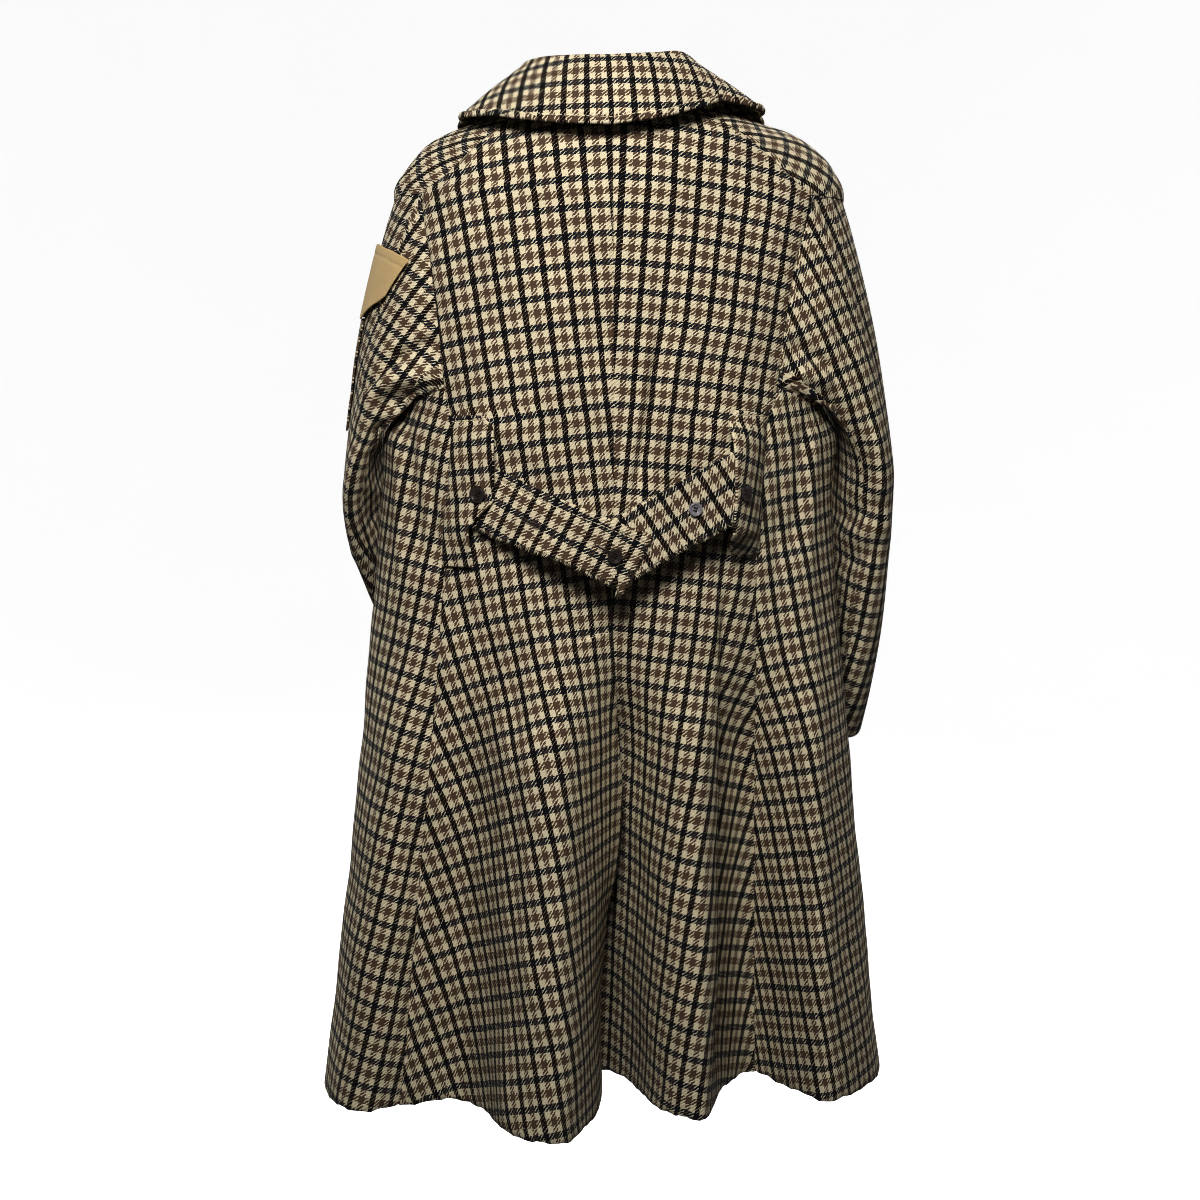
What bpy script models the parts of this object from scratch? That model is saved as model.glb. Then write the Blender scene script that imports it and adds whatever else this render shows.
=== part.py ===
"""Double-breasted coat, hung and hollow: every cut piece is its own thin-walled solid."""
import math

import bpy
import numpy as np

# Frame: the back faces -Y, +X is the right of the photograph, +Z is up, origin in the neck.
# All sizes and tables are in millimetres; the meshes are written in metres.
MM = 0.001
SEAM_GAP = 0.3
NORMAL_STEP = 1.5
SHARP_ANGLE = 40.0
CLOTH = 2.2
SLEEVE_CLOTH = 1.5
DOUBLE_CLOTH = 2.6

# Finishes: linear colour and roughness; nothing here is metal.
WOOL = ((0.33, 0.26, 0.17), 0.92)
TAN_TWILL = ((0.56, 0.42, 0.22), 0.85)
DARK_HORN = ((0.035, 0.02, 0.014), 0.30)
LILAC_PEARL = ((0.36, 0.31, 0.34), 0.25)

NECK_Z = 34.0
JUNCTION_Z = -58.0
ARMPIT_Z = -252.0
ARMPIT_DIP = 17.0
WAIST_Z = -400.0
VENT_TOP_Z = -498.0
HEM_Z = -985.0

# Plan sections of the upper body, neck to waist.
SECTION_COLUMNS = ("z", "left", "right", "back", "front", "back_square", "front_square")
SECTIONS = (
    (34, 82, 88, 74, 54, 2.00, 2.0),
    (24, 118, 142, 84, 62, 1.75, 1.7),
    (10, 155, 186, 92, 70, 1.65, 1.6),
    (-8, 186, 218, 100, 80, 1.65, 1.6),
    (-28, 205, 236, 105, 88, 1.70, 1.6),
    (-55, 219, 248, 110, 98, 1.80, 1.7),
    (-100, 217, 240, 115, 110, 1.95, 1.8),
    (-180, 210, 230, 119, 120, 2.15, 1.9),
    (-268, 208, 224, 121, 126, 2.30, 1.9),
    (-310, 226, 233, 121, 128, 2.30, 1.9),
    (-400, 239, 240, 120, 130, 2.20, 1.9),
)

# Hem line: one row for each fold (crest, trough or turn); angle runs from centre back.
HEM_COLUMNS = ("angle", "x", "y")
HEM_LEFT = (
    (0, -4, -55),
    (6, -20, -152),
    (14, -60, -226),
    (24, -112, -190),
    (29, -131, -134),
    (35, -164, -95),
    (42.5, -217, -110),
    (50, -250, -124),
    (58, -277, -113),
    (68, -293, -80),
    (82, -301, -30),
    (104, -292, 60),
    (116, -268, 112),
    (127, -236, 130),
    (139, -196, 112),
    (151, -152, 138),
    (163, -100, 168),
    (173, -48, 158),
    (180, 0, 150),
    (202, 92, 150),
)
HEM_RIGHT = (
    (-10, -40, -6),
    (0, -1, -18),
    (5, 25, -66),
    (9, 38, -118),
    (13, 60, -156),
    (19, 88, -168),
    (26, 116, -84),
    (35, 155, -34),
    (44, 192, -88),
    (52, 222, -127),
    (62, 257, -98),
    (74, 285, -58),
    (88, 298, 0),
    (104, 291, 64),
    (116, 268, 112),
    (127, 236, 128),
    (139, 196, 110),
    (151, 152, 138),
    (163, 100, 168),
    (173, 48, 161),
    (180, 0, 155),
    (190, -46, 163),
    (202, -92, 172),
)
FLARE_POWER = 1.15
FLUTE_POWER = 0.55
FLUTE_TOP_Z = -520.0
FLUTE_RUN = 110.0
FLUTE_REACH = 85.0
FLUTE_FADE = 35.0

# Vent: how far the split spreads in height, angle and step.
VENT_BLEND = 120.0
VENT_SPREAD = 9.0
VENT_STEP = 5.0
VENT_EDGE = 6.0

# Shoulder seam, back armhole and side-back seam, as distance from the centre.
BACK_EDGE_COLUMNS = ("z", "left", "right")
BACK_EDGE = (
    (34, 70, 76),
    (0, 122, 138),
    (-42, 168, 186),
    (-58, 190, 206),
    (-128, 181, 188),
    (-196, 173, 176),
    (-250, 169, 168),
    (-268, 167, 164),
    (-290, 159, 153),
    (-400, 168, 147),
)

# Front armhole and side-front seam below the shoulder, as an angle from centre back.
FRONT_ARMHOLE_COLUMNS = ("z", "angle")
FRONT_ARMHOLE = (
    (-60, 76),
    (-64, 92),
    (-74, 104),
    (-92, 112),
    (-118, 118),
    (-155, 121),
    (-195, 121),
    (-230, 117),
    (-252, 111),
    (-268, 105),
    (-400, 104),
)

# Front opening: roll line of the lapel above the break, front edge below it.
FRONT_EDGE_COLUMNS = ("z", "x")
FRONT_EDGE = (
    (34, 74),
    (0, 74),
    (-60, 52),
    (-120, 22),
    (-180, -18),
    (-255, -84),
    (-400, -86),
)
OVERLAP_INSET = 8.0
OVERLAP_FROM = 148.0
OVERLAP_SPREAD = 20.0
UNDERLAP_INSET = 5.4
UNDERLAP_ANGLE = -9.0

# Height of the rows of each stretch of the body mesh.
ROWS_TOP = (34, 24, 10, -8, -28, -45, -58)
ROWS_ARMHOLE = (-58, -60, -64, -74, -92, -118, -155, -195, -228, -252)
ROWS_SIDE = (-252, -268, -285, -310, -350, -400)
SIDE_DIPS = (ARMPIT_DIP, 9.0)
SIDE_TOP_DROP = 0.5
ROWS_SKIRT = (-400, -445, -498, -503, -508, -585, -665, -745, -830, -910, -985)
BACK_COLUMNS = 12
SIDE_COLUMNS = 9
FRONT_COLUMNS = 14

# Sleeve sections from the armhole to the cuff; turn follows the body round to the front.
SLEEVE_COLUMNS = ("along", "x", "y", "z", "half_width", "half_depth", "turn")
SLEEVE_LEFT = (
    (0.00, -210, 5, -165, 10, 88, 0),
    (0.15, -241, 12, -232, 17, 86, 0),
    (0.30, -253, 26, -290, 18, 84, 6),
    (0.45, -251, 48, -350, 18, 80, 14),
    (0.60, -234, 84, -408, 19, 74, 22),
    (0.75, -222, 130, -456, 21, 68, 22),
    (0.90, -209, 180, -498, 24, 62, 16),
    (1.00, -200, 216, -524, 26, 60, 12),
)
SLEEVE_RIGHT = (
    (0.00, 232, 5, -160, 12, 88, 0),
    (0.15, 260, 12, -224, 24, 85, 0),
    (0.30, 275, 22, -286, 27, 80, 4),
    (0.45, 277, 36, -352, 29, 76, 6),
    (0.60, 276, 52, -422, 29, 72, 8),
    (0.75, 274, 70, -494, 30, 68, 8),
    (0.90, 268, 92, -566, 30, 64, 8),
    (1.00, 262, 112, -612, 31, 62, 8),
)
AXIS_STEP = 0.02
SLEEVE_STATIONS = (0, 0.105, 0.155, 0.20, 0.25, 0.31, 0.38, 0.46, 0.58, 0.72, 0.86, 1)
ARMHOLE_GAP = 0.35
ARMHOLE_HALF_DEPTH = 80.0
ARMHOLE_HALF_HEIGHT = 100.0
NORMAL_PASSES = 4
CAP_SHARE = 0.42
CAP_TILT = 60.0
UNDER_SLEEVE_ANGLES = (128.0, 236.0)

# Collar: where its lower edge lies over the body, by angle round the neck.
COLLAR_EDGE_COLUMNS = ("angle", "body_angle", "left", "right", "lift")
COLLAR_EDGE = (
    (0, 0, -4, -4, 22),
    (20, 17, -3.5, 2, 23),
    (35, 30, -2, 10, 24),
    (48, 44, 2, 17, 22),
    (62, 58, 4, 14, 18),
    (85, 88, 14, 22, 7),
    (102, 122, 0, 9, 8),
    (114, 142, -24, -18, 9),
)
COLLAR_REACH = 114.0
COLLAR_ROLL_COLUMNS = ("angle", "out", "left", "right")
COLLAR_ROLL = (
    (0, 4, 75, 75),
    (30, 4, 75.5, 79),
    (48, 5, 76, 82.5),
    (66, 5.5, 75, 78),
    (90, 5, 67, 69),
    (114, 5, 54, 54),
)
COLLAR_COLUMNS = 25
COLLAR_PROFILE = 11
COLLAR_TURN = 5.0
COLLAR_BELLY = 2.0
COLLAR_RISE = 0.55
COLLAR_KNOTS = (0.0, 0.18, 0.36, 0.44, 0.52, 0.76, 1.0)

# Lapel width beside the roll line.
LAPEL_COLUMNS = ("z", "width")
LAPEL = (
    (-244, 8),
    (-200, 40),
    (-150, 72),
    (-105, 98),
    (-86, 108),
    (-64, 86),
    (-40, 54),
    (-10, 30),
    (14, 16),
)
LAPEL_ROWS = 16
STRIP_COLUMNS = 6
LAPEL_GAP = 0.9
LAPEL_ROLL = 1.5

# Back tabs: free edge and how far it stands off the back.
TAB_COLUMNS = ("z", "free_x", "lift")
TAB_LEFT = (
    (-281, -128, 5),
    (-292, -118, 7),
    (-306, -116, 11),
    (-326, -116, 13),
    (-360, -116, 13),
    (-386, -136, 13),
    (-396, -141, 11),
    (-412, -140, 7),
    (-430, -138, 4),
)
TAB_RIGHT = (
    (-276, 118, 10),
    (-288, 110, 18),
    (-304, 109, 32),
    (-324, 109.5, 38),
    (-356, 110, 38),
    (-393, 108, 38),
    (-405, 110, 24),
    (-418, 115.5, 10),
)
TAB_ROWS = 12
TAB_GAP = 0.5
TAB_LIFT_POWER = 0.78
# Tab buttons: side, height and share of the tab's width.
TAB_BUTTONS = ((-1, -357.0, 0.72), (1, -354.0, 0.80))
TAB_BUTTON_RADIUS = 8.5

# Half belts: centre line and how far it stands off the back.
BELT_COLUMNS = ("x", "z", "lift")
BELT_LEFT = (
    (-135, -356, 3.4),
    (-116, -364, 9.4),
    (-75, -382, 28),
    (-36, -398, 40),
    (21, -423, 40.5),
)
BELT_RIGHT = (
    (124, -340, 34),
    (112, -347, 35),
    (60, -377, 36),
    (20, -400, 36.8),
    (-6, -415, 36.8),
)
BELT_HALF_WIDTH = 29.0
BELT_STEPS = 13
BELT_GAP = 0.7
BELT_FREE_RISE = 40.0
# Belt buttons: belt, share of its length and radius.
BELT_BUTTONS = (("left", 0.90, 7.5), ("right", 0.44, 7.0))

BUTTON_PROFILE = ((0.0, 0.0), (0.82, 0.0), (1.0, 0.35), (1.0, 0.75), (0.86, 1.0), (0.66, 0.7), (0.0, 0.7))
BUTTON_SEGMENTS = 16
BUTTON_HEIGHT = 3.6
FRONT_BUTTON_RADIUS = 12.0
FRONT_BUTTON_X = (-58.0, 58.0)
FRONT_BUTTON_Z = (-295.0, -400.0, -505.0)

# Tan flap and checked patch on the left sleeve: rows from the upper to the lower edge.
FLAP_COLUMNS = ("along", "back_angle", "front_angle")
FLAP = ((0.135, -50, 60), (0.20, -40, 60), (0.25, -16, 60))
# How far the flap's upper edge drops, as a share of the sleeve's length.
SLANT_COLUMNS = ("angle", "drop")
FLAP_SLANT = ((-50, 0.0), (-40, 0.02), (-26, 0.04), (-10, 0.03), (60, 0.03))
FLAP_GAP = 3.2
FLAP_CLOTH = 1.6
PATCH = ((0.252, -16, 56), (0.355, -14, 56))
PATCH_GAP = 1.2
PATCH_CLOTH = 2.0


def column(table, names, name):
    """One named column of a table as an array."""
    return np.array([row[names.index(name)] for row in table], float)


def smooth(xs, ys, x):
    """Shape-keeping cubic through the points (xs, ys), read at x."""
    xs, ys = np.asarray(xs, float), np.asarray(ys, float)
    if xs[0] > xs[-1]:
        xs, ys = xs[::-1], ys[::-1]
    step = np.diff(xs)
    slope = np.diff(ys) / step
    tangent = np.zeros_like(ys)
    tangent[0], tangent[-1] = slope[0], slope[-1]
    same = slope[:-1] * slope[1:] > 0
    safe = np.where(same, slope[:-1] + slope[1:], 1.0)
    tangent[1:-1] = np.where(same, 2 * slope[:-1] * slope[1:] / safe, 0.0)
    x = np.clip(np.asarray(x, float), xs[0], xs[-1])
    k = np.clip(np.searchsorted(xs, x, side="right") - 1, 0, len(xs) - 2)
    t = (x - xs[k]) / step[k]
    value = (2 * t**3 - 3 * t**2 + 1) * ys[k] + (t**3 - 2 * t**2 + t) * step[k] * tangent[k]
    return value + (3 * t**2 - 2 * t**3) * ys[k + 1] + (t**3 - t**2) * step[k] * tangent[k + 1]


def read(table, names, key, name, at):
    """Smooth value of one column of a table against its key column."""
    return smooth(column(table, names, key), column(table, names, name), at)


def ease(x):
    """Smooth step from 0 to 1."""
    x = np.clip(x, 0.0, 1.0)
    return x * x * (3 - 2 * x)


def unit(v):
    """Vectors of length one."""
    return v / np.maximum(np.linalg.norm(v, axis=-1, keepdims=True), 1e-9)


def side_name(side):
    """Name of the side: -1 is the left of the photograph, +1 its right."""
    return "left" if side < 0 else "right"


def ring(side, angle, z):
    """Plan section of the upper body: x and y at an angle from centre back."""
    half = read(SECTIONS, SECTION_COLUMNS, "z", side_name(side), z)
    s, c = np.sin(np.radians(angle)), np.cos(np.radians(angle))
    behind = c > 0
    depth = np.where(behind, read(SECTIONS, SECTION_COLUMNS, "z", "back", z),
                     read(SECTIONS, SECTION_COLUMNS, "z", "front", z))
    square = np.where(behind, read(SECTIONS, SECTION_COLUMNS, "z", "back_square", z),
                      read(SECTIONS, SECTION_COLUMNS, "z", "front_square", z))
    x = side * half * np.sign(s) * np.abs(s) ** (2 / square)
    y = -np.sign(c) * depth * np.abs(c) ** (2 / square)
    return x, y


def hem(side, angle):
    """Plan of the fluted hem at an angle from centre back."""
    table = HEM_LEFT if side < 0 else HEM_RIGHT
    return (read(table, HEM_COLUMNS, "angle", "x", angle), read(table, HEM_COLUMNS, "angle", "y", angle))


def body(side, angle, z):
    """Outer face of the coat body; the skirt flares from waist to hem, and its back flutes deepen early."""
    angle, z = np.broadcast_arrays(np.asarray(angle, float), np.asarray(z, float))
    x, y = ring(side, angle, np.maximum(z, WAIST_Z))
    drop = np.clip((WAIST_Z - z) / (WAIST_Z - HEM_Z), 0.0, 1.0) ** FLARE_POWER
    hem_x, hem_y = hem(side, angle)
    if side > 0:
        parted = ease((VENT_TOP_Z - z) / VENT_BLEND)
        left_x, left_y = hem(-1, 0.0)
        right_x, right_y = hem(1, 0.0)
        near_vent = np.exp(-((angle / VENT_SPREAD) ** 2)) * (1 - parted)
        hem_x = hem_x + (left_x - right_x) * near_vent
        hem_y = hem_y + (left_y - right_y) * near_vent
    x = x + (hem_x - x) * drop
    fluted = ease((FLUTE_TOP_Z - z) / FLUTE_RUN) * ease((FLUTE_REACH - angle) / FLUTE_FADE)
    y = y + (hem_y - y) * (drop + (drop**FLUTE_POWER - drop) * fluted)
    if side > 0:
        below = np.clip((VENT_TOP_Z - z) / VENT_STEP, 0.0, 1.0)
        y = y + UNDERLAP_INSET * ease((VENT_EDGE - angle) / VENT_EDGE) * below
    else:
        y = y - OVERLAP_INSET * ease((angle - OVERLAP_FROM) / OVERLAP_SPREAD)
    return np.stack([x, y, z], -1)


def body_normal(side, angle, z, step=0.6):
    """Outward direction of the body's face."""
    across = body(side, angle + step, z) - body(side, angle - step, z)
    z = np.asarray(z, float)
    up = body(side, angle, z + NORMAL_STEP) - body(side, angle, z - NORMAL_STEP)
    return unit(np.cross(across, up) * side)


def angle_at(side, x, z, front=False):
    """Angle where the upper body's ring passes a distance x from the centre."""
    half = read(SECTIONS, SECTION_COLUMNS, "z", side_name(side), z)
    square = read(SECTIONS, SECTION_COLUMNS, "z", "front_square" if front else "back_square", z)
    turned = np.degrees(np.arcsin(np.clip(np.abs(x) / half, 0, 1) ** (square / 2)))
    return 180.0 - np.sign(x) * turned if front else turned


def back_edge(side, z):
    """Angle of the shoulder seam, back armhole and side-back seam."""
    z = np.maximum(np.asarray(z, float), WAIST_Z)
    return angle_at(side, read(BACK_EDGE, BACK_EDGE_COLUMNS, "z", side_name(side), z), z)


def front_armhole(side, z):
    """Angle of the shoulder seam, front armhole and side-front seam."""
    z = np.asarray(z, float)
    below = read(FRONT_ARMHOLE, FRONT_ARMHOLE_COLUMNS, "z", "angle", np.maximum(z, WAIST_Z))
    return np.where(z >= JUNCTION_Z, back_edge(side, z), below)


def front_edge(side, z):
    """Angle of the lapel's roll line and the front edge."""
    z = np.maximum(np.asarray(z, float), WAIST_Z)
    return angle_at(side, read(FRONT_EDGE, FRONT_EDGE_COLUMNS, "z", "x", z), z, front=True)


def centre_back(side, z):
    """Angle of the centre back edge; the right half runs on under the vent."""
    z = np.asarray(z, float)
    lapped = (z < VENT_TOP_Z - VENT_EDGE) & (side > 0)
    return np.where(lapped, UNDERLAP_ANGLE, 0.0)


def trimmed(grid, by, first=True, last=True):
    """Grid with its outer columns drawn in by a seam allowance."""
    out = grid.copy()
    if first:
        out[:, 0] += by * unit(grid[:, 1] - grid[:, 0])
    if last:
        out[:, -1] += by * unit(grid[:, -2] - grid[:, -1])
    return out


def body_panel(side, rows, start, end, columns, dips=()):
    """Outer face and normals of a body panel between two edges; dips lower the middle of its first rows."""
    z = np.array(rows, float)[:, None]
    dip = np.array(list(dips) + [0.0] * (len(rows) - len(dips)))[:, None]
    share = np.linspace(0, 1, columns)[None, :]
    angle = start(side, z) + (end(side, z) - start(side, z)) * share
    z = z - dip * (1 - (2 * share - 1) ** 2)
    return body(side, angle, z), body_normal(side, angle, z)


def armhole(side, rows, columns):
    """Armhole loop from the shoulder round the front and under the arm: angles, points, normals."""
    rows = np.array(rows, float)
    share = np.linspace(0, 1, columns)[1:-1]
    low, high = front_armhole(side, ARMPIT_Z), back_edge(side, ARMPIT_Z)
    below = low + (high - low) * share
    angle = np.concatenate([front_armhole(side, rows), below, back_edge(side, rows[::-1])])
    bottom = ARMPIT_Z - ARMPIT_DIP * (1 - (2 * share - 1) ** 2)
    z = np.concatenate([rows, bottom, rows[::-1]])
    point = body(side, angle, z)
    centre = (JUNCTION_Z + ARMPIT_Z - ARMPIT_DIP) / 2
    around = np.degrees(np.arctan2(point[:, 1] / ARMHOLE_HALF_DEPTH, (z - centre) / ARMHOLE_HALF_HEIGHT))
    around[around < around[0] - 1e-6] += 360.0
    around[-1] = around[0] + 360.0
    under = np.concatenate([0 * rows, np.sin(np.pi * share), 0 * rows])[:, None]
    edge = body_normal(side, angle, z) * (1 - under) + np.array([0, 0, -1.0]) * under
    return around, point, unit(edge)


def sleeve_ring(side, along, around):
    """Section of the hanging sleeve at a share of its length."""
    table = SLEEVE_LEFT if side < 0 else SLEEVE_RIGHT
    value = {name: read(table, SLEEVE_COLUMNS, "along", name, along) for name in SLEEVE_COLUMNS}
    centre, ahead, behind = (
        np.stack([read(table, SLEEVE_COLUMNS, "along", n, np.clip(at, 0.0, 1.0)) for n in "xyz"], -1)
        for at in (along, along + AXIS_STEP, along - AXIS_STEP)
    )
    axis = unit(ahead - behind)
    turn = np.radians(value["turn"])
    out = np.stack([side * np.cos(turn), np.sin(turn), 0 * turn], -1)
    out = unit(out - axis * np.sum(out * axis, -1, keepdims=True))
    front = unit(np.cross(axis, out) * -side)
    c, s = np.cos(np.radians(around)), np.sin(np.radians(around))
    wide, deep = value["half_width"][..., None], value["half_depth"][..., None]
    return centre + out * wide * c[..., None] + front * deep * s[..., None]


def sleeve(side, along, around, loop):
    """Outer face of the sleeve: the armhole loop flows into the hanging sections."""
    along, around = np.broadcast_arrays(np.asarray(along, float), np.asarray(around, float))
    loop_around, loop_point, _ = loop
    wrapped = (around - loop_around[0]) % 360.0 + loop_around[0]
    wrapped = np.where(np.abs(around - loop_around[-1]) < 1e-9, loop_around[-1], wrapped)
    start = np.stack([np.interp(wrapped, loop_around, loop_point[:, i]) for i in range(3)], -1)
    share = ease(along / CAP_SHARE)[..., None]
    hung = sleeve_ring(side, along, around)
    hung[..., 2] += CAP_TILT * np.cos(np.radians(around)) * (1 - share[..., 0])
    return start * (1 - share) + hung * share


def grid_normal(grid):
    """Normals of a grid of points, by its rows and columns."""
    across = np.gradient(grid, axis=1)
    down = np.gradient(grid, axis=0)
    return unit(np.cross(across, down))


def softened(normal, times):
    """Normals evened out along the rows and columns, with the first row kept."""
    for _ in range(times):
        wide = np.pad(normal, ((1, 1), (1, 1), (0, 0)), mode="edge")
        mean = wide[:-2, 1:-1] + wide[2:, 1:-1] + wide[1:-1, :-2] + wide[1:-1, 2:] + 2 * normal
        mean[0] = normal[0]
        normal = unit(mean)
    return normal


def finish_object(name, points, faces, finish):
    """A named object with its own material from points in millimetres."""
    mesh = bpy.data.meshes.new(name)
    mesh.from_pydata([tuple(p) for p in np.asarray(points) * MM], [], faces)
    mesh.validate()
    mesh.shade_smooth()
    mesh.set_sharp_from_angle(angle=math.radians(SHARP_ANGLE))
    colour, roughness = finish
    material = bpy.data.materials.new(name)
    material.use_nodes = True
    shader = material.node_tree.nodes["Principled BSDF"]
    shader.inputs["Base Color"].default_value = (*colour, 1.0)
    shader.inputs["Roughness"].default_value = roughness
    shader.inputs["Metallic"].default_value = 0.0
    mesh.materials.append(material)
    bpy.context.scene.collection.objects.link(bpy.data.objects.new(name, mesh))


def triangles(points, quad):
    """A four-sided face cut along its shorter diagonal."""
    a, b, c, d = quad
    if np.linalg.norm(points[a] - points[c]) <= np.linalg.norm(points[b] - points[d]):
        return [(a, b, c), (a, c, d)]
    return [(a, b, d), (b, c, d)]


def wall(name, outer, inner, finish=WOOL):
    """Closed thin wall between two grids of points."""
    rows, columns = outer.shape[:2]
    points = np.concatenate([outer.reshape(-1, 3), inner.reshape(-1, 3)])
    half = rows * columns
    faces = []
    for i in range(rows - 1):
        for j in range(columns - 1):
            a, b = i * columns + j, i * columns + j + 1
            c, d = b + columns, a + columns
            faces += triangles(points, (a, b, c, d))
            faces += triangles(points, (a + half, d + half, c + half, b + half))
    top = list(range(columns))
    right = [i * columns + columns - 1 for i in range(rows)]
    bottom = [(rows - 1) * columns + j for j in range(columns)][::-1]
    left = [i * columns for i in range(rows)][::-1]
    rim = top + right[1:] + bottom[1:] + left[1:]
    for a, b in zip(rim[:-1], rim[1:]):
        faces += triangles(points, (b, a, a + half, b + half))
    facing = np.cross(outer[0, 1] - outer[0, 0], outer[1, 0] - outer[0, 0])
    if np.dot(facing, outer[0, 0] - inner[0, 0]) < 0:
        faces = [face[::-1] for face in faces]
    finish_object(name, points, faces, finish)


def build_body():
    """Back, side and front panels of both sides."""
    full = ROWS_TOP + ROWS_ARMHOLE[1:] + ROWS_SIDE[1:] + ROWS_SKIRT[1:]
    low = ROWS_SIDE + ROWS_SKIRT[1:]
    plans = (
        ("back", full, centre_back, back_edge, BACK_COLUMNS, ()),
        ("side", low, back_edge, front_armhole, SIDE_COLUMNS, SIDE_DIPS),
        ("front", full, front_armhole, front_edge, FRONT_COLUMNS, ()),
    )
    for side in (-1, 1):
        for name, rows, start, end, columns, dips in plans:
            outer, normal = body_panel(side, rows, start, end, columns, dips)
            inner = outer - normal * CLOTH
            last = name != "front"
            outer, inner = (trimmed(g, SEAM_GAP / 2, True, last) for g in (outer, inner))
            if name == "side":
                down = unit(outer[1] - outer[0]) * SIDE_TOP_DROP
                outer[0] += down
                inner[0] += down
            wall(f"{name}_{side_name(side)}", outer, inner)


def build_sleeves(loops):
    """Top and under sleeve of both sides."""
    along = np.array(SLEEVE_STATIONS, float)
    for side in (-1, 1):
        around, _, loop_normal = loops[side]
        grid = sleeve(side, along[:, None], around[None, :], loops[side])
        wrapped = np.concatenate([grid[:, -2:-1], grid, grid[:, 1:2]], 1)
        normal = grid_normal(wrapped)[:, 1:-1] * -side
        normal[0] = loop_normal
        normal = softened(normal, NORMAL_PASSES)
        inner = grid - normal * SLEEVE_CLOTH
        down = unit(grid[1] - grid[0]) * ARMHOLE_GAP
        grid[0] += down
        inner[0] += down
        first, last = (int(np.argmin(np.abs(around - a))) for a in UNDER_SLEEVE_ANGLES)
        under = np.arange(first, last + 1)
        top = np.concatenate([np.arange(last, len(around) - 1), np.arange(0, first + 1)])
        for name, pick in (("top", top), ("under", under)):
            outer_part, inner_part = (trimmed(g[:, pick], SEAM_GAP / 2) for g in (grid, inner))
            wall(f"sleeve_{side_name(side)}_{name}", outer_part, inner_part)


def on_sleeve(name, loops, table, gap, thickness, finish=WOOL, columns=11, slant=()):
    """A piece that lies on the left sleeve's outer face, with rows where the sleeve has them."""
    ends = column(table, FLAP_COLUMNS, "along")
    inside = [a for a in SLEEVE_STATIONS if ends[0] < a < ends[-1]]
    along = np.array([ends[0]] + inside + [ends[-1]])[:, None]
    back, front = (np.interp(along[:, 0], ends, column(table, FLAP_COLUMNS, n)) for n in FLAP_COLUMNS[1:])
    rows = len(along)
    around = back[:, None] + (front - back)[:, None] * np.linspace(0, 1, columns)[None, :]
    if slant:
        drop = np.interp(around, column(slant, SLANT_COLUMNS, "angle"), column(slant, SLANT_COLUMNS, "drop"))
        along = along + drop * (ends[-1] - along) / (ends[-1] - ends[0])
    grid = sleeve(-1, along, around, loops[-1])
    normal = grid_normal(grid)
    normal *= -np.sign(normal[rows // 2, columns // 2, 0])
    wall(name, grid + normal * (gap + thickness), grid + normal * gap, finish)


def collar_grid():
    """Middle surface of the collar, from the neck seam over the roll to the lower edge."""
    angle = np.linspace(-COLLAR_REACH, COLLAR_REACH, COLLAR_COLUMNS)
    share = np.linspace(0, 1, COLLAR_PROFILE)
    columns = []
    for a in angle:
        side = -1 if a < 0 else 1
        b = abs(a)
        neck = body(side, b, NECK_Z)
        out = unit(np.array([neck[0], neck[1], 0.0]))
        start = neck + np.array([0, 0, SEAM_GAP]) - out * DOUBLE_CLOTH / 2
        roll_out = read(COLLAR_ROLL, COLLAR_ROLL_COLUMNS, "angle", "out", b)
        roll_z = read(COLLAR_ROLL, COLLAR_ROLL_COLUMNS, "angle", side_name(side), b)
        top = np.array([neck[0], neck[1], roll_z]) + out * roll_out
        on_body = read(COLLAR_EDGE, COLLAR_EDGE_COLUMNS, "angle", "body_angle", b)
        edge_z = read(COLLAR_EDGE, COLLAR_EDGE_COLUMNS, "angle", side_name(side), b)
        lift = read(COLLAR_EDGE, COLLAR_EDGE_COLUMNS, "angle", "lift", b)
        edge = body(side, on_body, edge_z) + body_normal(side, on_body, edge_z) * lift
        below = np.array([0, 0, COLLAR_TURN])
        stand = top - out * COLLAR_TURN - below
        fall = top + out * (COLLAR_TURN + 1.0) - below
        rise = start + (stand - start) * COLLAR_RISE
        belly = (fall + edge) / 2 + out * COLLAR_BELLY
        knots = np.array([start, rise, stand, top, fall, belly, edge])
        columns.append(np.stack([smooth(COLLAR_KNOTS, knots[:, i], share) for i in range(3)], -1))
    return np.stack(columns, 1)


def build_collar():
    """Collar stand and fall in one turned-over wall."""
    grid = collar_grid()
    normal = grid_normal(grid)
    wall("collar", grid + normal * DOUBLE_CLOTH / 2, grid - normal * DOUBLE_CLOTH / 2)


def build_lapels():
    """Lapels turned back on the fronts."""
    z = np.linspace(LAPEL[0][0], LAPEL[-1][0], LAPEL_ROWS)
    width = read(LAPEL, LAPEL_COLUMNS, "z", "width", z)
    share = np.linspace(0, 1, STRIP_COLUMNS)
    for side in (-1, 1):
        roll_x = read(FRONT_EDGE, FRONT_EDGE_COLUMNS, "z", "x", z)
        x = roll_x[:, None] + width[:, None] * share[None, :]
        zz = np.broadcast_to(z[:, None], x.shape)
        angle = angle_at(side, x, zz, front=True)
        face, normal = body(side, angle, zz), body_normal(side, angle, zz)
        gap = LAPEL_GAP + LAPEL_ROLL * np.sin(np.pi * share)[None, :, None]
        wall(f"lapel_{side_name(side)}", face + normal * (gap + CLOTH), face + normal * gap)


def tab_lift(table, z, share):
    """How far a tab's inner face stands off the body."""
    return TAB_GAP + read(table, TAB_COLUMNS, "z", "lift", z) * share**TAB_LIFT_POWER


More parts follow.
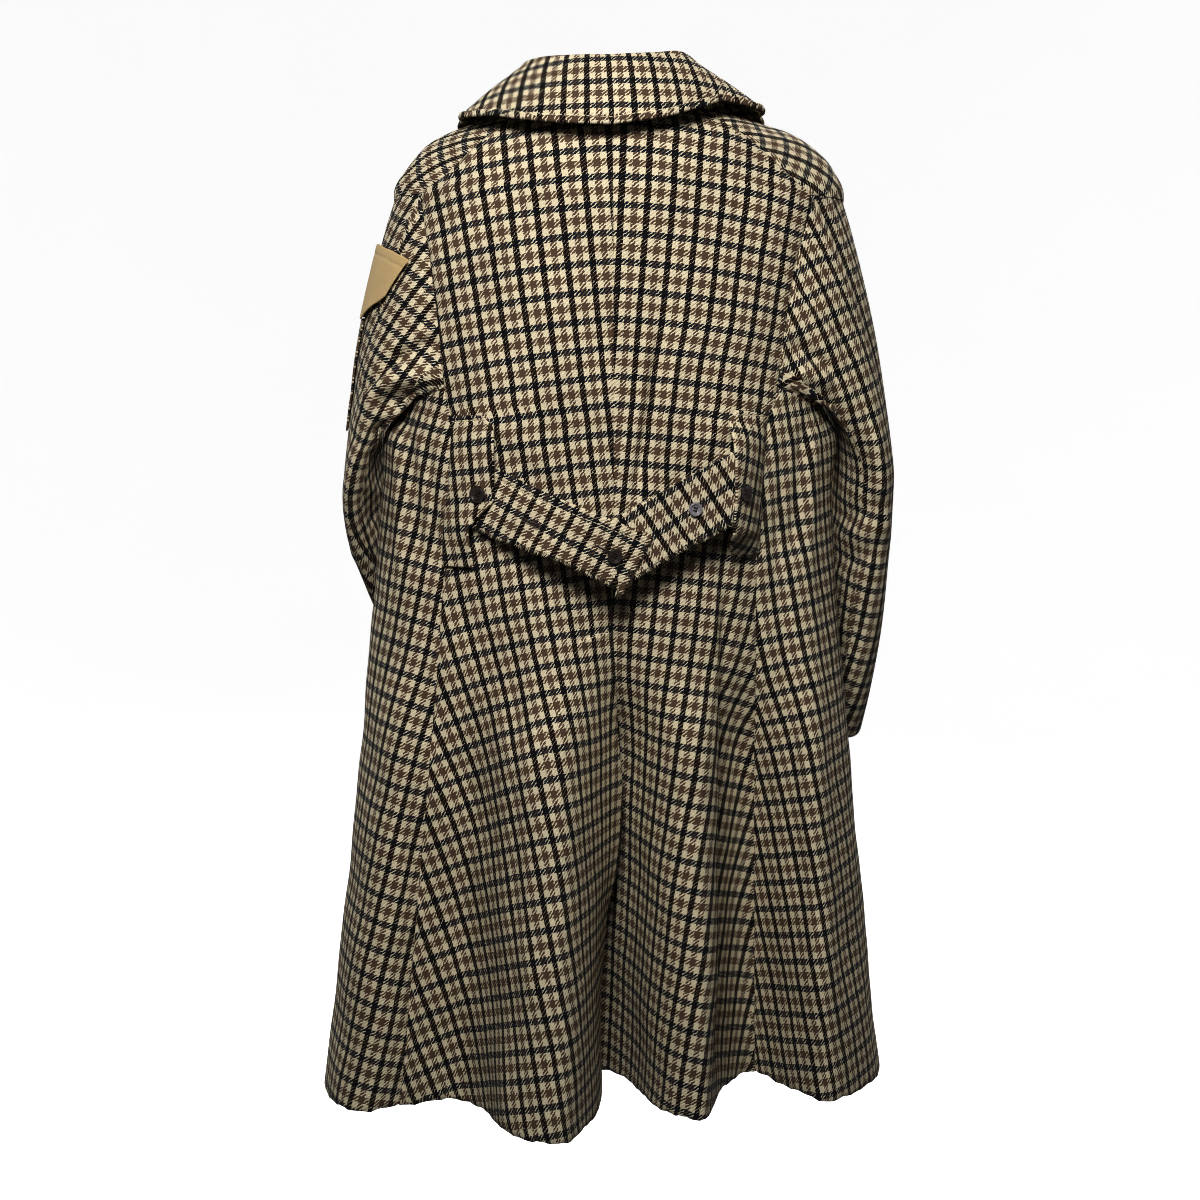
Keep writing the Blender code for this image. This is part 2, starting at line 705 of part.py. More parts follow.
def tab_grid(side, z, share):
    """Body points and normals under a tab."""
    table = TAB_LEFT if side < 0 else TAB_RIGHT
    seam = back_edge(side, z)
    free = angle_at(side, read(table, TAB_COLUMNS, "z", "free_x", z), z)
    angle = seam + (free - seam) * share
    return body(side, angle, z), body_normal(side, angle, z), tab_lift(table, z, share)


def build_tabs():
    """Tabs caught in the side-back seams."""
    share = np.linspace(0, 1, STRIP_COLUMNS)[None, :]
    for side, table in ((-1, TAB_LEFT), (1, TAB_RIGHT)):
        z = np.linspace(table[0][0], table[-1][0], TAB_ROWS)[:, None]
        zz, ss = np.broadcast_arrays(z, share)
        face, normal, lift = tab_grid(side, zz, ss)
        inner = face + normal * lift[..., None]
        out = grid_normal(inner)
        out *= np.sign(np.sum(out * normal, -1, keepdims=True))
        wall(f"tab_{side_name(side)}", inner + out * DOUBLE_CLOTH, inner)


def under_tab(side, angle, z):
    """Most a belt may stand off the body and still pass under the tab."""
    table = TAB_LEFT if side < 0 else TAB_RIGHT
    seam = back_edge(side, z)
    free = angle_at(side, read(table, TAB_COLUMNS, "z", "free_x", z), z)
    share = np.maximum((seam - angle) / (seam - free), 0.02)
    past = np.maximum(share - 1.0, 0.0)
    return tab_lift(table, z, np.minimum(share, 1.0)) - DOUBLE_CLOTH - BELT_GAP + BELT_FREE_RISE * past


def belt_grid(table, along, across):
    """Inner face of a half belt, hung off the back."""
    place = np.linspace(0, 1, len(table))
    x = smooth(place, column(table, BELT_COLUMNS, "x"), along)
    z = smooth(place, column(table, BELT_COLUMNS, "z"), along)
    lift = smooth(place, column(table, BELT_COLUMNS, "lift"), along)
    run = np.array([table[-1][0] - table[0][0], table[-1][1] - table[0][1]], float)
    run /= np.linalg.norm(run)
    up = np.array([-run[1], run[0]]) * np.sign(run[0])
    px = x + up[0] * across
    pz = z + up[1] * across
    side = np.where(px < 0, -1, 1)
    left, right = (angle_at(s, np.abs(px), pz) for s in (-1, 1))
    face = np.where((side < 0)[..., None], body(-1, left, pz), body(1, right, pz))
    normal = np.where((side < 0)[..., None], body_normal(-1, left, pz), body_normal(1, right, pz))
    start = -1 if table is BELT_LEFT else 1
    cap = np.where(side == start, under_tab(start, left if start < 0 else right, pz), 1e3)
    return face, normal, np.minimum(lift, cap)


def build_belts():
    """Two half belts lapped at the middle."""
    along = np.linspace(0, 1, BELT_STEPS)[:, None]
    across = np.linspace(BELT_HALF_WIDTH, -BELT_HALF_WIDTH, STRIP_COLUMNS)[None, :]
    for name, table in (("left", BELT_LEFT), ("right", BELT_RIGHT)):
        face, normal, lift = belt_grid(table, along, across)
        inner = face + normal * lift[..., None]
        wall(f"belt_{name}", inner + normal * DOUBLE_CLOTH, inner)


def button(name, place, normal, radius, finish=DARK_HORN):
    """A round button with a raised rim, on a face at a place."""
    normal = unit(np.asarray(normal, float))
    side = unit(np.cross(normal, [0.0, 0.0, 1.0]))
    up = np.cross(side, normal)
    turns = np.linspace(0, 2 * np.pi, BUTTON_SEGMENTS, endpoint=False)
    circle = np.cos(turns)[:, None] * side + np.sin(turns)[:, None] * up
    base = np.asarray(place, float) + normal * SEAM_GAP
    points = [base]
    for r, h in BUTTON_PROFILE[1:-1]:
        points.extend(base + circle * radius * r + normal * BUTTON_HEIGHT * h)
    points.append(base + normal * BUTTON_HEIGHT * BUTTON_PROFILE[-1][1])
    n, rings = BUTTON_SEGMENTS, len(BUTTON_PROFILE) - 2
    faces = []
    for j in range(n):
        k = (j + 1) % n
        faces.append((0, 1 + j, 1 + k))
        for i in range(rings - 1):
            a, b = 1 + i * n, 1 + (i + 1) * n
            faces.append((a + j, b + j, b + k, a + k))
        last = 1 + (rings - 1) * n
        faces.append((last + j, len(points) - 1, last + k))
    finish_object(name, points, faces, finish)


def build_buttons():
    """Tab, belt and front buttons."""
    for side, z, share in TAB_BUTTONS:
        face, normal, lift = tab_grid(side, np.array([[z]]), np.array([[share]]))
        near, _, near_lift = tab_grid(side, np.array([[z]]), np.array([[share + 0.1]]))
        far, far_normal, far_lift = tab_grid(side, np.array([[z]]), np.array([[share - 0.1]]))
        across = (near + normal * near_lift[..., None] - far - far_normal * far_lift[..., None])[0, 0]
        tilt = unit(np.cross(across, [0.0, 0.0, 1.0]) * -side)
        place = (face + normal * lift[..., None])[0, 0] + tilt * (DOUBLE_CLOTH + SEAM_GAP)
        button(f"button_tab_{side_name(side)}", place, tilt, TAB_BUTTON_RADIUS)
    for name, share, radius in BELT_BUTTONS:
        table = BELT_LEFT if name == "left" else BELT_RIGHT
        face, normal, lift = belt_grid(table, np.array([[share]]), np.array([[0.0]]))
        place = (face + normal * (lift[..., None] + DOUBLE_CLOTH + SEAM_GAP))[0, 0]
        finish = DARK_HORN if name == "left" else LILAC_PEARL
        button(f"button_belt_{name}", place, normal[0, 0], radius, finish)
    for i, z in enumerate(FRONT_BUTTON_Z):
        for j, x in enumerate(FRONT_BUTTON_X):
            angle = angle_at(1, np.array(x), max(z, WAIST_Z), front=True)
            place, normal = body(1, angle, z), body_normal(1, angle, z)
            name = f"button_front_{len(FRONT_BUTTON_X) * i + j + 1}"
            button(name, place + normal * SEAM_GAP, normal, FRONT_BUTTON_RADIUS)


def main():
    """Build every piece of the coat."""
    for obj in list(bpy.data.objects):
        bpy.data.objects.remove(obj, do_unlink=True)
    loops = {side: armhole(side, ROWS_ARMHOLE, SIDE_COLUMNS) for side in (-1, 1)}
    build_body()
    build_sleeves(loops)
    build_collar()
    build_lapels()
    build_tabs()
    build_belts()
    build_buttons()
    on_sleeve("sleeve_flap", loops, FLAP, FLAP_GAP, FLAP_CLOTH, TAN_TWILL, slant=FLAP_SLANT)
    on_sleeve("sleeve_patch", loops, PATCH, PATCH_GAP, PATCH_CLOTH)


main()
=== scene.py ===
"""Looks of the checked wool coat: cloth shells with soft creases, check weave, sewing, buttons and light."""
import math
from functools import partial

import bpy
import numpy as np
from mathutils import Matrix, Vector


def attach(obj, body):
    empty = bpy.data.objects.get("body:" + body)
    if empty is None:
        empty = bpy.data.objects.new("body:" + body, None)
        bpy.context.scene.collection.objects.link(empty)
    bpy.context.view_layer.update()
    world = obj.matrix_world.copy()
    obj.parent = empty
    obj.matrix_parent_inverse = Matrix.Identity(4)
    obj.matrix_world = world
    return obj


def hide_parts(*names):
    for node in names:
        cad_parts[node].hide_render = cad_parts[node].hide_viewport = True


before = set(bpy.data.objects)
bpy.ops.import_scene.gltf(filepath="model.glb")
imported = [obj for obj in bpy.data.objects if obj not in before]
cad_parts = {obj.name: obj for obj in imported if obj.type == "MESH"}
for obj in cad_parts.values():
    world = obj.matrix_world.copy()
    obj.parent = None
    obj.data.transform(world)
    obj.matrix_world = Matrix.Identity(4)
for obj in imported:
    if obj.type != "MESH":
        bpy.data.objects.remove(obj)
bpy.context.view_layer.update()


def keyed(names, *rows):
    """Columns of a table by name; the first is the one that the others are read against."""
    return dict(zip(names.split(), np.array(rows, float).T))


# Frame: the back faces -Y, +X is the right of the photograph, +Z is up, origin in the neck.
# Sizes are in millimetres and angles in degrees, as in the part's source; the meshes are written in metres.
MM = 0.001
SEAM_GAP = 0.3
NORMAL_STEP = 1.5
ANGLE_STEP = 0.6
CLOTH = 2.2
SLEEVE_CLOTH = 1.5
DOUBLE_CLOTH = 2.6

# Heights: neck seam, shoulder's end, armpit and how far it dips, waist, top of the vent and hem.
NECK_Z = 34.0
JUNCTION_Z = -58.0
ARMPIT_Z = -252.0
ARMPIT_DIP = 17.0
WAIST_Z = -400.0
VENT_TOP_Z = -498.0
HEM_Z = -985.0

# Plan sections of the upper body, neck to waist.
SECTIONS = keyed(
    "z left right back front back_square front_square",
    (34, 82, 88, 74, 54, 2.00, 2.0),
    (24, 118, 142, 84, 62, 1.75, 1.7),
    (10, 155, 186, 92, 70, 1.65, 1.6),
    (-8, 186, 218, 100, 80, 1.65, 1.6),
    (-28, 205, 236, 105, 88, 1.70, 1.6),
    (-55, 219, 248, 110, 98, 1.80, 1.7),
    (-100, 217, 240, 115, 110, 1.95, 1.8),
    (-180, 210, 230, 119, 120, 2.15, 1.9),
    (-268, 208, 224, 121, 126, 2.30, 1.9),
    (-310, 226, 233, 121, 128, 2.30, 1.9),
    (-400, 239, 240, 120, 130, 2.20, 1.9),
)

# Hem line: one row for each fold (crest, trough or turn); angle runs from centre back.
HEM_LEFT = keyed(
    "angle x y",
    (0, -4, -55),
    (6, -20, -152),
    (14, -60, -226),
    (24, -112, -190),
    (29, -131, -134),
    (35, -164, -95),
    (42.5, -217, -110),
    (50, -250, -124),
    (58, -277, -113),
    (68, -293, -80),
    (82, -301, -30),
    (104, -292, 60),
    (116, -268, 112),
    (127, -236, 130),
    (139, -196, 112),
    (151, -152, 138),
    (163, -100, 168),
    (173, -48, 158),
    (180, 0, 150),
    (202, 92, 150),
)
HEM_RIGHT = keyed(
    "angle x y",
    (-10, -40, -6),
    (0, -1, -18),
    (5, 25, -66),
    (9, 38, -118),
    (13, 60, -156),
    (19, 88, -168),
    (26, 116, -84),
    (35, 155, -34),
    (44, 192, -88),
    (52, 222, -127),
    (62, 257, -98),
    (74, 285, -58),
    (88, 298, 0),
    (104, 291, 64),
    (116, 268, 112),
    (127, 236, 128),
    (139, 196, 110),
    (151, 152, 138),
    (163, 100, 168),
    (173, 48, 161),
    (180, 0, 155),
    (190, -46, 163),
    (202, -92, 172),
)
# Skirt: how it flares from waist to hem, and where the flutes of its back deepen, by height and angle.
FLARE_POWER = 1.15
FLUTE_POWER = 0.55
FLUTE_TOP_Z = -520.0
FLUTE_RUN = 110.0
FLUTE_REACH = 85.0
FLUTE_FADE = 35.0

# Vent: how far the split spreads in height and angle, and how the underlap sinks in at its top.
VENT_BLEND = 120.0
VENT_SPREAD = 9.0
VENT_SINK = 34.0
VENT_EDGE = 6.0

# Shoulder seam, back armhole and side-back seam, as distance from the centre.
BACK_EDGE = keyed(
    "z left right",
    (34, 70, 76),
    (0, 122, 138),
    (-42, 168, 186),
    (-58, 190, 206),
    (-128, 181, 188),
    (-196, 173, 176),
    (-250, 169, 168),
    (-268, 167, 164),
    (-290, 159, 153),
    (-400, 168, 147),
)

# Front armhole and side-front seam below the shoulder, as an angle from centre back.
FRONT_ARMHOLE = keyed(
    "z angle",
    (-60, 76),
    (-64, 92),
    (-74, 104),
    (-92, 112),
    (-118, 118),
    (-155, 121),
    (-195, 121),
    (-230, 117),
    (-252, 111),
    (-268, 105),
    (-400, 104),
)

# Front opening: roll line of the lapel above the break, front edge below it.
FRONT_EDGE = keyed(
    "z x",
    (34, 74),
    (0, 74),
    (-60, 52),
    (-120, 22),
    (-180, -18),
    (-255, -84),
    (-400, -86),
)
OVERLAP_INSET = 8.0
OVERLAP_FROM = 148.0
OVERLAP_SPREAD = 20.0
UNDERLAP_INSET = 5.4
UNDERLAP_ANGLE = -9.0
UNDERLAP_RUN = 60.0

# Side panel: how far its rows dip under the arm.
SIDE_DIP = keyed("z dip", (-252, ARMPIT_DIP), (-268, 9), (-285, 0))
SIDE_TOP_DROP = 0.5

# Sleeve sections from the armhole to the cuff; turn follows the body round to the front.
SLEEVE_LEFT = keyed(
    "along x y z half_width half_depth turn",
    (0.00, -210, 5, -165, 10, 88, 0),
    (0.15, -241, 12, -232, 17, 86, 0),
    (0.30, -253, 26, -290, 18, 84, 6),
    (0.45, -251, 48, -350, 18, 80, 14),
    (0.60, -234, 84, -408, 19, 74, 22),
    (0.75, -222, 130, -456, 21, 68, 22),
    (0.90, -209, 180, -498, 24, 62, 16),
    (1.00, -200, 216, -524, 26, 60, 12),
)
SLEEVE_RIGHT = keyed(
    "along x y z half_width half_depth turn",
    (0.00, 232, 5, -160, 12, 88, 0),
    (0.15, 260, 12, -224, 24, 85, 0),
    (0.30, 275, 22, -286, 27, 80, 4),
    (0.45, 277, 36, -352, 29, 76, 6),
    (0.60, 276, 52, -422, 29, 72, 8),
    (0.75, 274, 70, -494, 30, 68, 8),
    (0.90, 268, 92, -566, 30, 64, 8),
    (1.00, 262, 112, -612, 31, 62, 8),
)
AXIS_STEP = 0.02
ARMHOLE_GAP = 0.35
ARMHOLE_HALF_DEPTH = 80.0
ARMHOLE_HALF_HEIGHT = 100.0
NORMAL_PASSES = 12
CAP_SHARE = 0.42
CAP_TILT = 60.0
UNDER_SLEEVE_ANGLES = (128.0, 236.0)

# Collar: where its lower edge lies over the body, by angle round the neck.
COLLAR_EDGE = keyed(
    "angle body_angle left right lift",
    (0, 0, -4, -4, 22),
    (20, 17, -3.5, 2, 23),
    (35, 30, -2, 10, 24),
    (48, 44, 2, 17, 22),
    (62, 58, 4, 14, 18),
    (85, 88, 14, 20, 5),
    (102, 122, 0, 7, 6.5),
    (114, 142, -24, -18, 9),
)
COLLAR_REACH = 114.0
COLLAR_ROLL = keyed(
    "angle out left right",
    (0, 4, 75, 75),
    (30, 4, 75.5, 79),
    (48, 5, 76, 82.5),
    (66, 5.5, 75, 78),
    (90, 5, 67, 69),
    (114, 5, 54, 54),
)
COLLAR_TURN = 5.0
COLLAR_OPEN = 1.0
COLLAR_BELLY = 2.0
COLLAR_RISE = 0.55
COLLAR_KNOTS = (0.0, 0.18, 0.36, 0.44, 0.52, 0.76, 1.0)

# Lapel width beside the roll line.
LAPEL = keyed(
    "z width",
    (-244, 8),
    (-200, 40),
    (-150, 72),
    (-105, 98),
    (-86, 108),
    (-64, 86),
    (-40, 54),
    (-10, 30),
    (14, 16),
)
LAPEL_GAP = 0.9
LAPEL_ROLL = 1.5

# Back tabs: free edge and how far it stands off the back.
TAB_LEFT = keyed(
    "z free_x lift",
    (-281, -128, 5),
    (-292, -118, 7),
    (-306, -116, 11),
    (-326, -116, 13),
    (-360, -116, 13),
    (-386, -136, 13),
    (-396, -141, 11),
    (-412, -140, 7),
    (-430, -138, 4),
)
TAB_RIGHT = keyed(
    "z free_x lift",
    (-276, 118, 10),
    (-288, 110, 18),
    (-304, 109, 32),
    (-324, 109.5, 38),
    (-356, 110, 38),
    (-393, 108, 38),
    (-405, 110, 24),
    (-418, 115.5, 10),
)
TAB_GAP = 0.5
TAB_LIFT_POWER = 0.78
TAB_LEAST_SHARE = 0.02
# Tab buttons: side, height and share of the tab's width.
TAB_BUTTONS = ((-1, -357.0, 0.72), (1, -354.0, 0.80))
TAB_BUTTON_RADIUS = 8.5
# Steps round a tab button that give its direction: share of the width, height.
TAB_BUTTON_STEPS = (0.1, 4.0)

# Half belts: centre line and how far it stands off the back.
BELT_LEFT = keyed(
    "x z lift",
    (-135, -356, 3.4),
    (-116, -364, 9.4),
    (-75, -382, 28),
    (-36, -398, 40),
    (21, -423, 40.5),
)
BELT_RIGHT = keyed(
    "x z lift",
    (124, -340, 34),
    (112, -347, 35),
    (60, -377, 36),
    (20, -400, 36.8),
    (-6, -415, 36.8),
)
BELT_HALF_WIDTH = 29.0
BELT_GAP = 0.7
BELT_FREE_RISE = 40.0
# Belt buttons: belt, share of its length and radius.
BELT_BUTTONS = (("left", 0.90, 7.5), ("right", 0.44, 7.0))

BUTTON_HEIGHT = 3.6
FRONT_BUTTON_RADIUS = 12.0
FRONT_BUTTON_X = (-58.0, 58.0)
FRONT_BUTTON_Z = (-295.0, -400.0, -505.0)

# Tan flap and checked patch on the left sleeve: rows from the upper to the lower edge.
FLAP = keyed("along back_angle front_angle", (0.135, -50, 60), (0.20, -40, 60), (0.25, -16, 60))
# How far the flap's upper edge drops, as a share of the sleeve's length.
FLAP_SLANT = keyed("angle drop", (-50, 0.0), (-30, 0.04), (-10, 0.03), (60, 0.03))
FLAP_GAP = 3.2
FLAP_CLOTH = 1.6
FLAP_CURL = 1.5
FLAP_CURL_SHARE = 0.10
PATCH = keyed("along back_angle front_angle", (0.252, -16, 56), (0.355, -14, 56))
PATCH_GAP = 1.2
PATCH_CLOTH = 2.0

# Rows of the cloth meshes: height and number of steps down from the row before.
FULL_ROWS = ((34, 1), (-58, 20), (-60, 9), (-64, 9), (-74, 5), (-252, 38), (-496, 50), (-510, 8), (-985, 100))
SIDE_ROWS = ((-252, 1), (-290, 14), (-985, 142))
ARMHOLE_ROWS = FULL_ROWS[1:6]
ARMHOLE_COLUMNS = 40
PANEL_COLUMNS = {"back": 58, "side": 44, "front": 70}
EDGE_SHARES = (0.0, 0.005, 0.012, 0.022)
# Rounding at seams and rims, and how a cut piece is laid flat and its checks fan out.
SEAM_ROLL = 1.1
SEAM_ROLL_WIDTH = 2.4
RIM_ROUND = 0.42
COARSE_SHARES = np.linspace(0, 1, 13)
UNDERLAP_KEYS = (-0.3, -0.15)
FLAT_PASSES = 40
FLAT_WEIGHTS = (0.05, 20.0)
FAN_END = 520.0
FAN_FADE = 260.0
COARSE_ROWS = 44
FRONT_COARSE = 21
# Rows and columns of the smaller pieces, and of the coarse grids that they are laid flat on.
STEPS = {"lapel": (60, 26), "tab": (150, 28), "belt": (60, 90), "on_sleeve": (70, 60)}
COARSE_STEPS = {
    "top": (25, 15),
    "under": (25, 15),
    "collar": (14, 25),
    "tab": (9, 10),
    "belt": (8, 12),
    "flap": (7, 8),
    "patch": (7, 8),
}
LAPEL_COARSE_STEPS = (7, 5)
SLEEVE_EDGE_ROWS = (0, 0.003, 0.008, 0.016)
SLEEVE_ROWS = (0.026, 1, 104)
COLLAR_COLUMNS = 181
COLLAR_ROWS = (0, 0.82, 70)
COLLAR_EDGE_ROWS = (0.82, 1, 40)

# Soft creases of the back and the front: x and z of both ends, width, and height or depth.
BACK_CREASES = (
    (47, -200, 24, -350, 5, -6.5),
    (33, -205, 14, -345, 6, 3.6),
    (60, -230, 38, -350, 6, 2.4),
    (-140, -275, -62, -330, 14, 1.8),
    (-128, -300, -55, -352, 10, -1.6),
    (142, -268, 66, -330, 14, 1.8),
    (126, -296, 58, -350, 10, -1.6),
    (0, -20, 0, -500, 3, -0.7),
    (103, -480, 100, -920, 7, 5.0),
    (114, -480, 112, -920, 7, -7.5),
    (128, -520, 130, -920, 12, -4.0),
    (-42, -500, -50, -930, 22, 3.0),
    (-104, -520, -110, -920, 12, -6.0),
    (-150, -540, -164, -920, 13, 3.0),
    (72, -500, 76, -930, 15, 4.0),
    (206, -440, 226, -860, 10, 3.0),
    (-33, -502, -2, -491.5, 2.0, -2.4),
    (-33, -507, -2, -496.5, 2.6, 1.8),
    (-204, -292, -196, -420, 7, -4.5),
    (-217, -300, -214, -440, 6, 3.4),
    (-187, -304, -176, -430, 6, -3.4),
    (197, -296, 186, -420, 7, -4.5),
    (209, -300, 205, -440, 6, 3.4),
    (177, -304, 168, -430, 6, -3.4),
    (172, -430, 196, -820, 9, -4.0),
    (-186, -440, -206, -840, 10, -3.5),
    (-150, -330, -110, -470, 10, -1.6),
)
FRONT_CREASES = (
    (-170, -140, -108, -232, 10, -4.0),
    (-176, -176, -120, -262, 9, 3.0),
    (172, -140, 112, -240, 10, -4.0),
    (178, -178, 122, -268, 9, 3.0),
    (-130, -262, -86, -330, 12, 2.6),
    (132, -266, 88, -336, 12, 2.6),
    (-150, -386, -82, -398, 9, -3.2),
    (-146, -416, -84, -408, 8, 2.4),
    (152, -384, 84, -398, 9, -3.2),
    (146, -414, 86, -408, 8, 2.4),
    (-98, -440, -106, -900, 13, 6.0),
    (-126, -440, -136, -900, 11, -7.0),
    (102, -440, 112, -900, 13, 6.0),
    (132, -440, 140, -900, 11, -7.0),
    (-170, -470, -182, -900, 11, 4.0),
    (172, -470, 186, -900, 11, 4.0),
    (-30, -560, -34, -900, 14, -4.0),
    (22, -560, 24, -900, 12, 3.0),
    (-168, -300, -122, -430, 11, -3.4),
    (166, -300, 120, -430, 11, -3.4),
)
# Small unevenness of all cloth: wave lengths, phase and height.
WOBBLE = (
    (95, 170, 0.3, 0.6),
    (-61, 240, 1.7, 0.4),
    (43, 88, 4.1, 0.25),
    (-29, 64, 2.2, 0.15),
)
CREASE_FADE = 0.18
# Angle where the back's creases give way to the front's, and how soon.
BACK_REACH = 100.0
BACK_FADE = 20.0
# Share of a fold's extra length that the checks run over.
TAKE_UP = 0.6
# How far the left edge of the vent swings to the right.
VENT_SHIFT = keyed("z shift", (-498, 0), (-600, 9), (-690, 15), (-750, 11), (-800, 0), (-930, -5), (-985, -5))
VENT_SHIFT_WIDTH = 40.0
# Fullness under the arms: left, right, and its place and spread by angle and height.
ARMPIT_FULLNESS = (9.0, 14.0)
ARMPIT_PLACE = (100.0, 24.0, -306.0, 34.0)

# Sleeve creases: share of the length and angle round the sleeve of both ends, width, height.
SLEEVE_CREASES = {
    -1: (
        (0.02, -112, 0.30, -20, 8, -4.5),
        (0.05, -132, 0.34, -28, 8, 4.0),
        (0.12, -140, 0.40, -40, 9, -4.0),
        (0.40, -130, 0.52, -20, 9, -3.0),
        (0.46, -130, 0.60, -20, 9, 2.6),
        (0.58, 100, 0.50, 10, 9, -3.0),
        (0.05, 120, 0.32, 30, 9, -3.5),
        (0.10, 135, 0.38, 40, 9, 3.0),
        (0.70, -90, 0.78, 20, 9, -2.0),
    ),
    1: (
        (0.02, -118, 0.22, -40, 8, -4.0),
        (0.05, -135, 0.28, -40, 8, 3.6),
        (0.10, -140, 0.34, -60, 9, -3.6),
        (0.46, -120, 0.52, -20, 9, -3.4),
        (0.52, -120, 0.58, -20, 10, 3.0),
        (0.60, -110, 0.62, -10, 9, -2.6),
        (0.05, 120, 0.30, 30, 9, -3.5),
        (0.10, 135, 0.36, 40, 9, 3.0),
        (0.48, 110, 0.54, 20, 9, -3.0),
        (0.80, -100, 0.84, 0, 9, -2.0),
    ),
}
# Creases on the back of the sleeves: x and z of both ends, width, height.
SLEEVE_BACK_CREASES = {
    -1: (
        (-176, -204, -222, -226, 7, -8.0),
        (-214, -220, -256, -262, 7, -8.0),
        (-178, -240, -226, -243, 9, 8.0),
        (-224, -242, -254, -266, 8, 7.0),
        (-192, -264, -238, -270, 9, -8.0),
        (-196, -288, -244, -300, 9, -8.0),
        (-178, -182, -224, -204, 5, -2.6),
        (-178, -194, -222, -216, 5, 2.4),
        (-200, -120, -236, -176, 8, -2.0),
        (-236, -330, -262, -300, 8, -3.0),
        (-228, -372, -258, -350, 8, 2.6),
        (-222, -404, -250, -384, 8, -3.0),
    ),
    1: (
        (186, -145, 238, -198, 6, -3.4),
        (232, -190, 272, -296, 7, -3.4),
        (186, -160, 230, -206, 6, 2.8),
        (184, -206, 236, -242, 6, -8.0),
        (188, -236, 226, -246, 9, 7.0),
        (226, -270, 236, -320, 8, -9.0),
        (262, -300, 284, -420, 7, -3.0),
        (274, -290, 296, -410, 7, 2.6),
        (252, -390, 292, -372, 9, -3.4),
        (250, -412, 292, -398, 9, 3.4),
        (252, -440, 290, -424, 9, -3.0),
        (256, -540, 280, -500, 8, -2.4),
    ),
}
SLEEVE_BEHIND = (-0.25, 0.25)
SLEEVE_SETTLE = 0.10
SLEEVE_LENGTH = 480.0
SLEEVE_DEGREE = 1.3

# Grain of each cut piece: column it is straight along, lean and fan of the checks, shift along both.
GRAIN = {
    "back": (0.143, 2.3, 0.00050, 0.0, 0.0),
    "side": (0.5, -7.0, 0.0, 0.0, 0.0),
    "front": (0.83, 0.0, 0.0, 0.0, 0.0),
    "lapel": (0.0, 0.0, 0.0, 0.0, 0.0),
    "collar": (0.5, 0.0, 0.0, 5.1, 8.0),
    "top": (0.5, 0.0, 0.0, 0.0, 0.0),
    "under": (0.5, 0.0, 0.0, 0.0, 0.0),
    "tab": (0.0, -9.0, 0.0, 0.0, 0.0),
    "belt": (0.5, 0.0, 0.0, 0.0, 0.0),
    "flap": (0.5, 0.0, 0.0, 0.0, 0.0),
    "patch": (0.5, 0.0, 0.0, 0.0, 0.0),
}

# Check weave: bands of the warp and the weft as share of their repeat, and the twill of single yarns.
WARP_REPEAT = 21.8
WEFT_REPEAT = 28.0
TWILL = 4.0
CREAM = (0.72, 0.635, 0.46)
BROWN = (0.125, 0.080, 0.052)
DARK = (0.010, 0.006, 0.005)
SLATE = (0.013, 0.019, 0.028)
# Start of each band, its colour, and how much more than half of the twill it covers.
WARP_BANDS = ((0.0, DARK, 0.40), (0.25, CREAM, 0.0), (0.50, BROWN, 0.14), (0.76, CREAM, 0.0))
WEFT_BANDS = ((0.0, SLATE, 0.24), (0.235, CREAM, 0.0), (0.485, BROWN, 0.14), (0.75, CREAM, 0.0))

# Sewing, in millimetres: stitch length, space between stitches and half thickness of the thread.
TOPSTITCH = (3.8, 0.7, 0.42)
FINE_STITCH = (2.2, 1.3, 0.20)
HEM_STITCH = (1.4, 11.0, 0.26)
BAR_STITCH = (2.4, 0.5, 0.50)
STITCH_POINTS = 6
STITCH_LIFT = 0.30
TUBE_SIDES = 5
TUBE_END = 0.99
TUBE_END_POWER = 6
TUBE_STEEP = 0.9
# How a stitch bows off the cloth and sinks in at its ends, as shares of its lift.
STITCH_BOW = 1.6
STITCH_SINK = 0.5
HEM_STITCH_INSET = 11.0
# Turned edges: distance of the stitch line from the edge, depth of its groove, rise of the roll outside it.
TURNED_EDGES = {
    "collar": (8.0, 2.0, 2.2),
    "belt_left": (8.5, 1.0, 0.6),
    "tab": (6.5, 1.0, 0.8),
    "sleeve_flap": (10.0, 0.5, 0.2),
}
GROOVE_WIDTH = 1.7
ROLL_SHARE = 0.40
CENTRE_STITCH_Z = (-40.0, -170.0)
CENTRE_STITCH_INSET = 1.0
# Bar tack over the vent: from a point to a point of the left back, x and z.
BAR_TACK = ((-33.0, -505.0), (-3.0, -494.0))
BAR_TACK_POINTS = 24
BAR_TACK_PASSES = 6
# Buttonholes of the left belt: share of its length where the eye is, height on the belt, slot length.
BUTTONHOLES = ((0.52, -3.0, 14.0), (0.90, 0.0, 13.0))
BUTTONHOLE_EYE = 2.0
BUTTONHOLE_SLOT = 0.7
BUTTONHOLE_BAR = 1.7
BUTTONHOLE_THREAD = 0.30
BUTTONHOLE_LIFT = 0.12
BUTTONHOLE_RISE = 0.3
# Half of the eye's round part in half turns, points of the eye and of each side of the slot.
EYE_TURN = 0.80
EYE_POINTS = 22
SLOT_POINTS = 20
# Share of the warp's repeat that colours the thread.
BUTTONHOLE_BAND = 0.6
